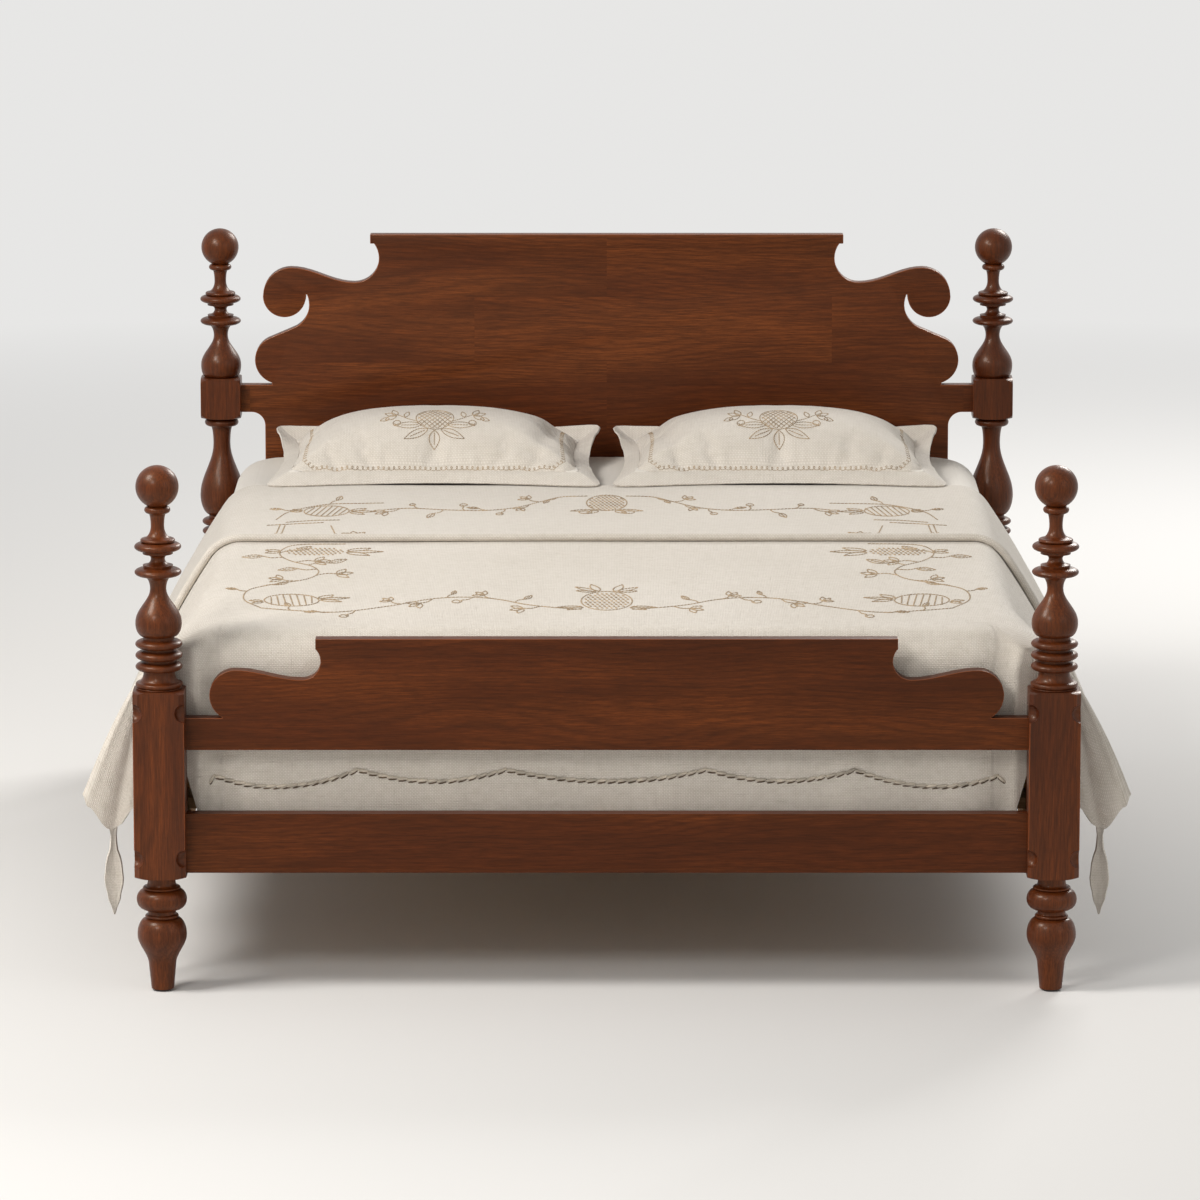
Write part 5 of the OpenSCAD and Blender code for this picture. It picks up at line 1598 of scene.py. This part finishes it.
def crowned(x, y, lengths, angles, width):
    """Leaves fanned out round one place, each with its own length and angle in degrees."""
    strokes, clear = [], 0.012
    for long, degrees in zip(lengths, angles):
        way = math.radians(degrees)
        strokes += placed(leaf(long, width, False), x + clear * math.cos(way), y + clear * math.sin(way), way)
    return strokes


def coverlet_vines():
    side = vine(COVERLET_STEM, COVERLET_SPRIGS) + vine(CORNER_STEM, CORNER_SPRIGS)
    side += striped_fruit(-0.578, -0.705, 0.050, 0.062, math.radians(12))
    side += crowned(-0.505, -0.195, (0.058, 0.068, 0.056), (-38, 0, 36), 0.012)
    side += crowned(-0.610, -0.195, (0.032, 0.032), (160, 202), 0.010)
    side += crowned(-0.012, -0.625, (0.036, 0.060, 0.072), (160, 130, 102), 0.008)
    side += crowned(-0.034, -0.765, (0.046, 0.040), (190, 222), 0.008)
    return mirrored(side) + placed([ring(0.047, 0.094)], 0, -0.71)


def coverlet_knots():
    side = placed(knots(0.062, 0.052, 0.0088, 0.0165, 0.009), -0.556, -0.195)
    return mirrored(side) + placed(knots(0.047, 0.092, 0.0086, 0.0175, 0.011), 0.0, -0.71)


def band_vines():
    side = vine(BAND_STEM, BAND_SPRIGS)
    side += vine(BAND_CORNER_STEM, [(0.3, 160, "leaf", 0.022), (0.62, 60, "leaf", 0.024)])
    side += striped_fruit(-0.55, 0.222, 0.044, 0.060, math.radians(-4))
    side += placed(blossom(0.03), -0.485, -0.05, math.radians(100), 1.0, 1.3)
    for x in (-0.634, -0.624):
        side.append([(x, 0.06), (x - 0.004, -0.075)])
    side += [[(-0.66, 0.055), (-0.60, 0.075), (-0.55, 0.09)], [(-0.535, 0.055), (-0.520, -0.065)]]
    side += [[(-0.625, 0.09), (-0.57, 0.115), (-0.52, 0.12)]]
    side += crowned(-0.012, 0.235, (0.050, 0.042), (195, 240), 0.009)
    side += placed(curl(0.014), -0.03, 0.215, math.radians(200), 1.0, 1.5)
    return mirrored(side) + [placed([ring(0.040, 0.092)], 0, 0.315)[0]]


def band_knots():
    return placed(knots(0.040, 0.100, 0.0082, 0.0165, 0.010), 0.0, 0.315)


def pillow_vines():
    """The sham's motif, drawn round the fruit's middle: the fruit, five leaves and two sprays."""
    strokes = [ring(0.038, 0.029)]
    strokes += placed(leaf(0.045, 0.011), 0, -0.031, math.radians(-90))
    side = placed(leaf(0.054, 0.009), -0.013, -0.029, math.radians(207))
    side += placed(leaf(0.056, 0.008), -0.026, -0.019, math.radians(181))
    side += placed(curl(0.009), -0.080, -0.022, math.radians(60))
    side += [spline([(-0.034, -0.010), (-0.055, -0.002), (-0.078, 0.012)])]
    side += placed(blossom(0.026), -0.078, 0.008, math.radians(160))
    side += placed(leaf(0.022, 0.005, False), -0.060, 0.002, math.radians(75))
    side += placed(leaf(0.020, 0.005, False), -0.092, 0.000, math.radians(200))
    return strokes + mirrored(side)


def pillow_knots():
    """Crossing lines that fill the fruit of the sham's motif."""
    strokes = []
    for k in range(-4, 5):
        for slant in (-1, 1):
            line = [(k / 4 * 1.1 + slant * t * 0.75, t) for t in (-1 + i / 10 for i in range(21))]
            line = [(x * 0.038, y * 0.029) for x, y in line if x * x + y * y < 0.93]
            if len(line) > 2:
                strokes.append(line)
    return strokes


def looped(tree, path, pitch, radius):
    """A row of small loops that lie on a surface, along a path of places near it."""
    travel = travelled(path)
    places = np.array(path)
    line = []
    count = int(travel[-1] / pitch * 10)
    for i in range(count + 1):
        s = travel[-1] * i / count
        near, far = max(0, s - 0.004), min(travel[-1], s + 0.004)
        here, near, far = (Vector(value_at(at, travel, places)) for at in (s, near, far))
        hit, normal, _, _ = tree.find_nearest(here)
        along = (far - near).normalized()
        aside = normal.cross(along).normalized()
        a = 2 * math.pi * i / 10
        swung = hit + along * radius * math.sin(a) + aside * radius * math.cos(a)
        line.append(tree.find_nearest(swung)[:2])
    return line


class TURNED_BED_OT_bed_embroidery(bpy.types.Operator):
    """Embroiders the coverlet and the turned-down band"""

    bl_idname = "turned_bed.bed_embroidery"
    bl_label = "Vines on the coverlet and band"

    def execute(self, context):
        thread = thread_material("Embroidery thread", settings("cloth").thread)
        pale = thread_material("Pale thread", settings("cloth").knots)
        for name, cloth, vines, filling in (
            ("coverlet", "coverlet_cloth", coverlet_vines(), coverlet_knots()),
            ("band", "top_sheet_band", band_vines(), band_knots()),
        ):
            tree = surface_of(bpy.data.objects[cloth])
            place = ("bedding", name + "_linen")
            stitched(name + "_vines", *place, laid(tree, vines, *FLAT), thread)
            stitched(name + "_knots", *place, laid(tree, filling, *FLAT), pale, KNOT_STITCH)
        return {"FINISHED"}


class TURNED_BED_OT_foot_rope(bpy.types.Operator):
    """Couches a scalloped border along the coverlet's foot drop, with a row of dark stitches under it as its
    painted shadow
    """

    bl_idname = "turned_bed.foot_rope"
    bl_label = "Scalloped border at the foot"

    def execute(self, context):
        cloth = settings("cloth")
        peaks = (
            (-0.704, 0.388), (-0.446, 0.401), (-0.180, 0.401),
            (0.180, 0.401), (0.446, 0.401), (0.704, 0.388),
        )
        strokes = [[(-0.714, 0.376), (-0.704, 0.388)], [(0.704, 0.388), (0.714, 0.376)]]
        for (a, high_a), (b, high_b) in zip(peaks, peaks[1:]):
            deep = 0.024 if abs(a + b) > 1.0 else 0.021
            strokes.append([
                (a + (b - a) * t, high_a + (high_b - high_a) * t - deep * (1 - (2 * t - 1) ** 2))
                for t in (i / 24 for i in range(25))
            ])
        tree = surface_of(bpy.data.objects["coverlet_cloth"])
        # Dark stitches just under the cord stand in for its shadow: painted shadow.
        below = [[(x, z - 0.0042) for x, z in stroke] for stroke in strokes]
        for name, lines, material, size, slant, gap in (
            ("foot_rope", strokes, thread_material("Couched cord", cloth.rope), BORDER_STITCH, 9, 0.92),
            ("foot_rope_ties", below, thread_material("Painted rope shadow thread", cloth.rope_shadow), ROPE_SHADOW_STITCH, 12, 1.22),
        ):
            stitched(name, "bedding", "coverlet_linen", laid(tree, lines, *FOOT), material,
                     size, math.radians(slant), gap)
        return {"FINISHED"}


class TURNED_BED_OT_sham_embroidery(bpy.types.Operator):
    """Embroiders the shams: the motif on the crown and the looped border along the seam"""

    bl_idname = "turned_bed.sham_embroidery"
    bl_label = "Motifs on the shams"

    tilt: angle_setting("Tilt", "Slope of the flat pattern", 22)

    def execute(self, context):
        thread = bpy.data.materials["Embroidery thread"]
        pale = bpy.data.materials["Pale thread"]
        low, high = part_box("sham_left")
        inner_low, inner_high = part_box("pillow_left")
        middle = (low + high) / 2
        a, b = (inner_high.x - inner_low.x) / 2, (inner_high.y - inner_low.y) / 2
        up = Vector((0, math.sin(self.tilt), math.cos(self.tilt)))
        for side, hand in SIDES:
            tree = surface_of(bpy.data.objects[f"sham_{side}_cloth"])
            x = hand * abs(middle.x)
            centre = Vector((x, middle.y - 0.055, high.z - 0.020))
            origin = centre + Vector((0, -math.cos(self.tilt), math.sin(self.tilt)))
            place = (f"pillow_set_{side}", "sham_linen")
            for name, pattern, material in (
                ("vines", pillow_vines(), thread), ("knots", pillow_knots(), pale),
            ):
                lines = laid(tree, pattern, origin, (1, 0, 0), up)
                stitched(f"sham_{side}_{name}", *place, lines, material, MOTIF_STITCH)
            outline = [(-0.91, 0.80 - 1.7 * i / 16) for i in range(17)]
            outline += [(-0.91 + 1.82 * i / 24, -0.99) for i in range(1, 24)]
            outline += [(0.91, -0.90 + 1.7 * i / 16) for i in range(17)]
            path = []
            for u, v in outline:
                px, py = drawn(a, b, u, v)
                hit = tree.ray_cast(Vector((x + px, middle.y + py, high.z + 0.1)), Vector((0, 0, -1)))[0]
                path.append(hit)
            loops = looped(tree, path, LOOP_PITCH, LOOP_R)
            stitched(f"sham_{side}_border", *place, [loops], thread, LOOP_STITCH, slant=0.0)
        return {"FINISHED"}


OPERATORS = (
    TURNED_BED_OT_stage,
    TURNED_BED_OT_posts,
    TURNED_BED_OT_boards,
    TURNED_BED_OT_side_rails,
    TURNED_BED_OT_slatted_base,
    TURNED_BED_OT_fittings,
    TURNED_BED_OT_mattress,
    TURNED_BED_OT_fitted_sheet,
    TURNED_BED_OT_coverlet,
    TURNED_BED_OT_band,
    TURNED_BED_OT_pillows,
    TURNED_BED_OT_bed_embroidery,
    TURNED_BED_OT_foot_rope,
    TURNED_BED_OT_sham_embroidery,
)
PROPERTIES = {
    "camera": BedCamera, "wood": BedWood, "cloth": BedCloth, "stitch": BedStitch, "pillow": BedPillow,
}


class TURNED_BED_PT_panel(bpy.types.Panel):
    """Lists the steps that dress the bed"""

    bl_idname = "TURNED_BED_PT_panel"
    bl_label = "Turned post bed"
    bl_space_type = "VIEW_3D"
    bl_region_type = "UI"
    bl_category = "Bed"

    def draw(self, context):
        for name, group in PROPERTIES.items():
            box = self.layout.box()
            box.label(text=group.__name__[3:])
            for key in group.__annotations__:
                box.prop(settings(name), key)
        for operator in OPERATORS:
            self.layout.operator(operator.bl_idname)


def register():
    for group in PROPERTIES.values():
        bpy.utils.register_class(group)
    for name, group in PROPERTIES.items():
        setattr(bpy.types.Scene, "turned_bed_" + name, PointerProperty(type=group))
    for operator in OPERATORS:
        bpy.utils.register_class(operator)
    bpy.utils.register_class(TURNED_BED_PT_panel)


def unregister():
    bpy.utils.unregister_class(TURNED_BED_PT_panel)
    for operator in reversed(OPERATORS):
        bpy.utils.unregister_class(operator)
    for name, group in PROPERTIES.items():
        delattr(bpy.types.Scene, "turned_bed_" + name)
        bpy.utils.unregister_class(group)


def main():
    register()
    wood_figure_group()
    edge_wear_and_highlight_group()
    weave_group()
    for operator in OPERATORS:
        step = getattr(bpy.ops.turned_bed, operator.bl_idname.split(".")[1])
        step()


if __name__ == "__main__":
    main()
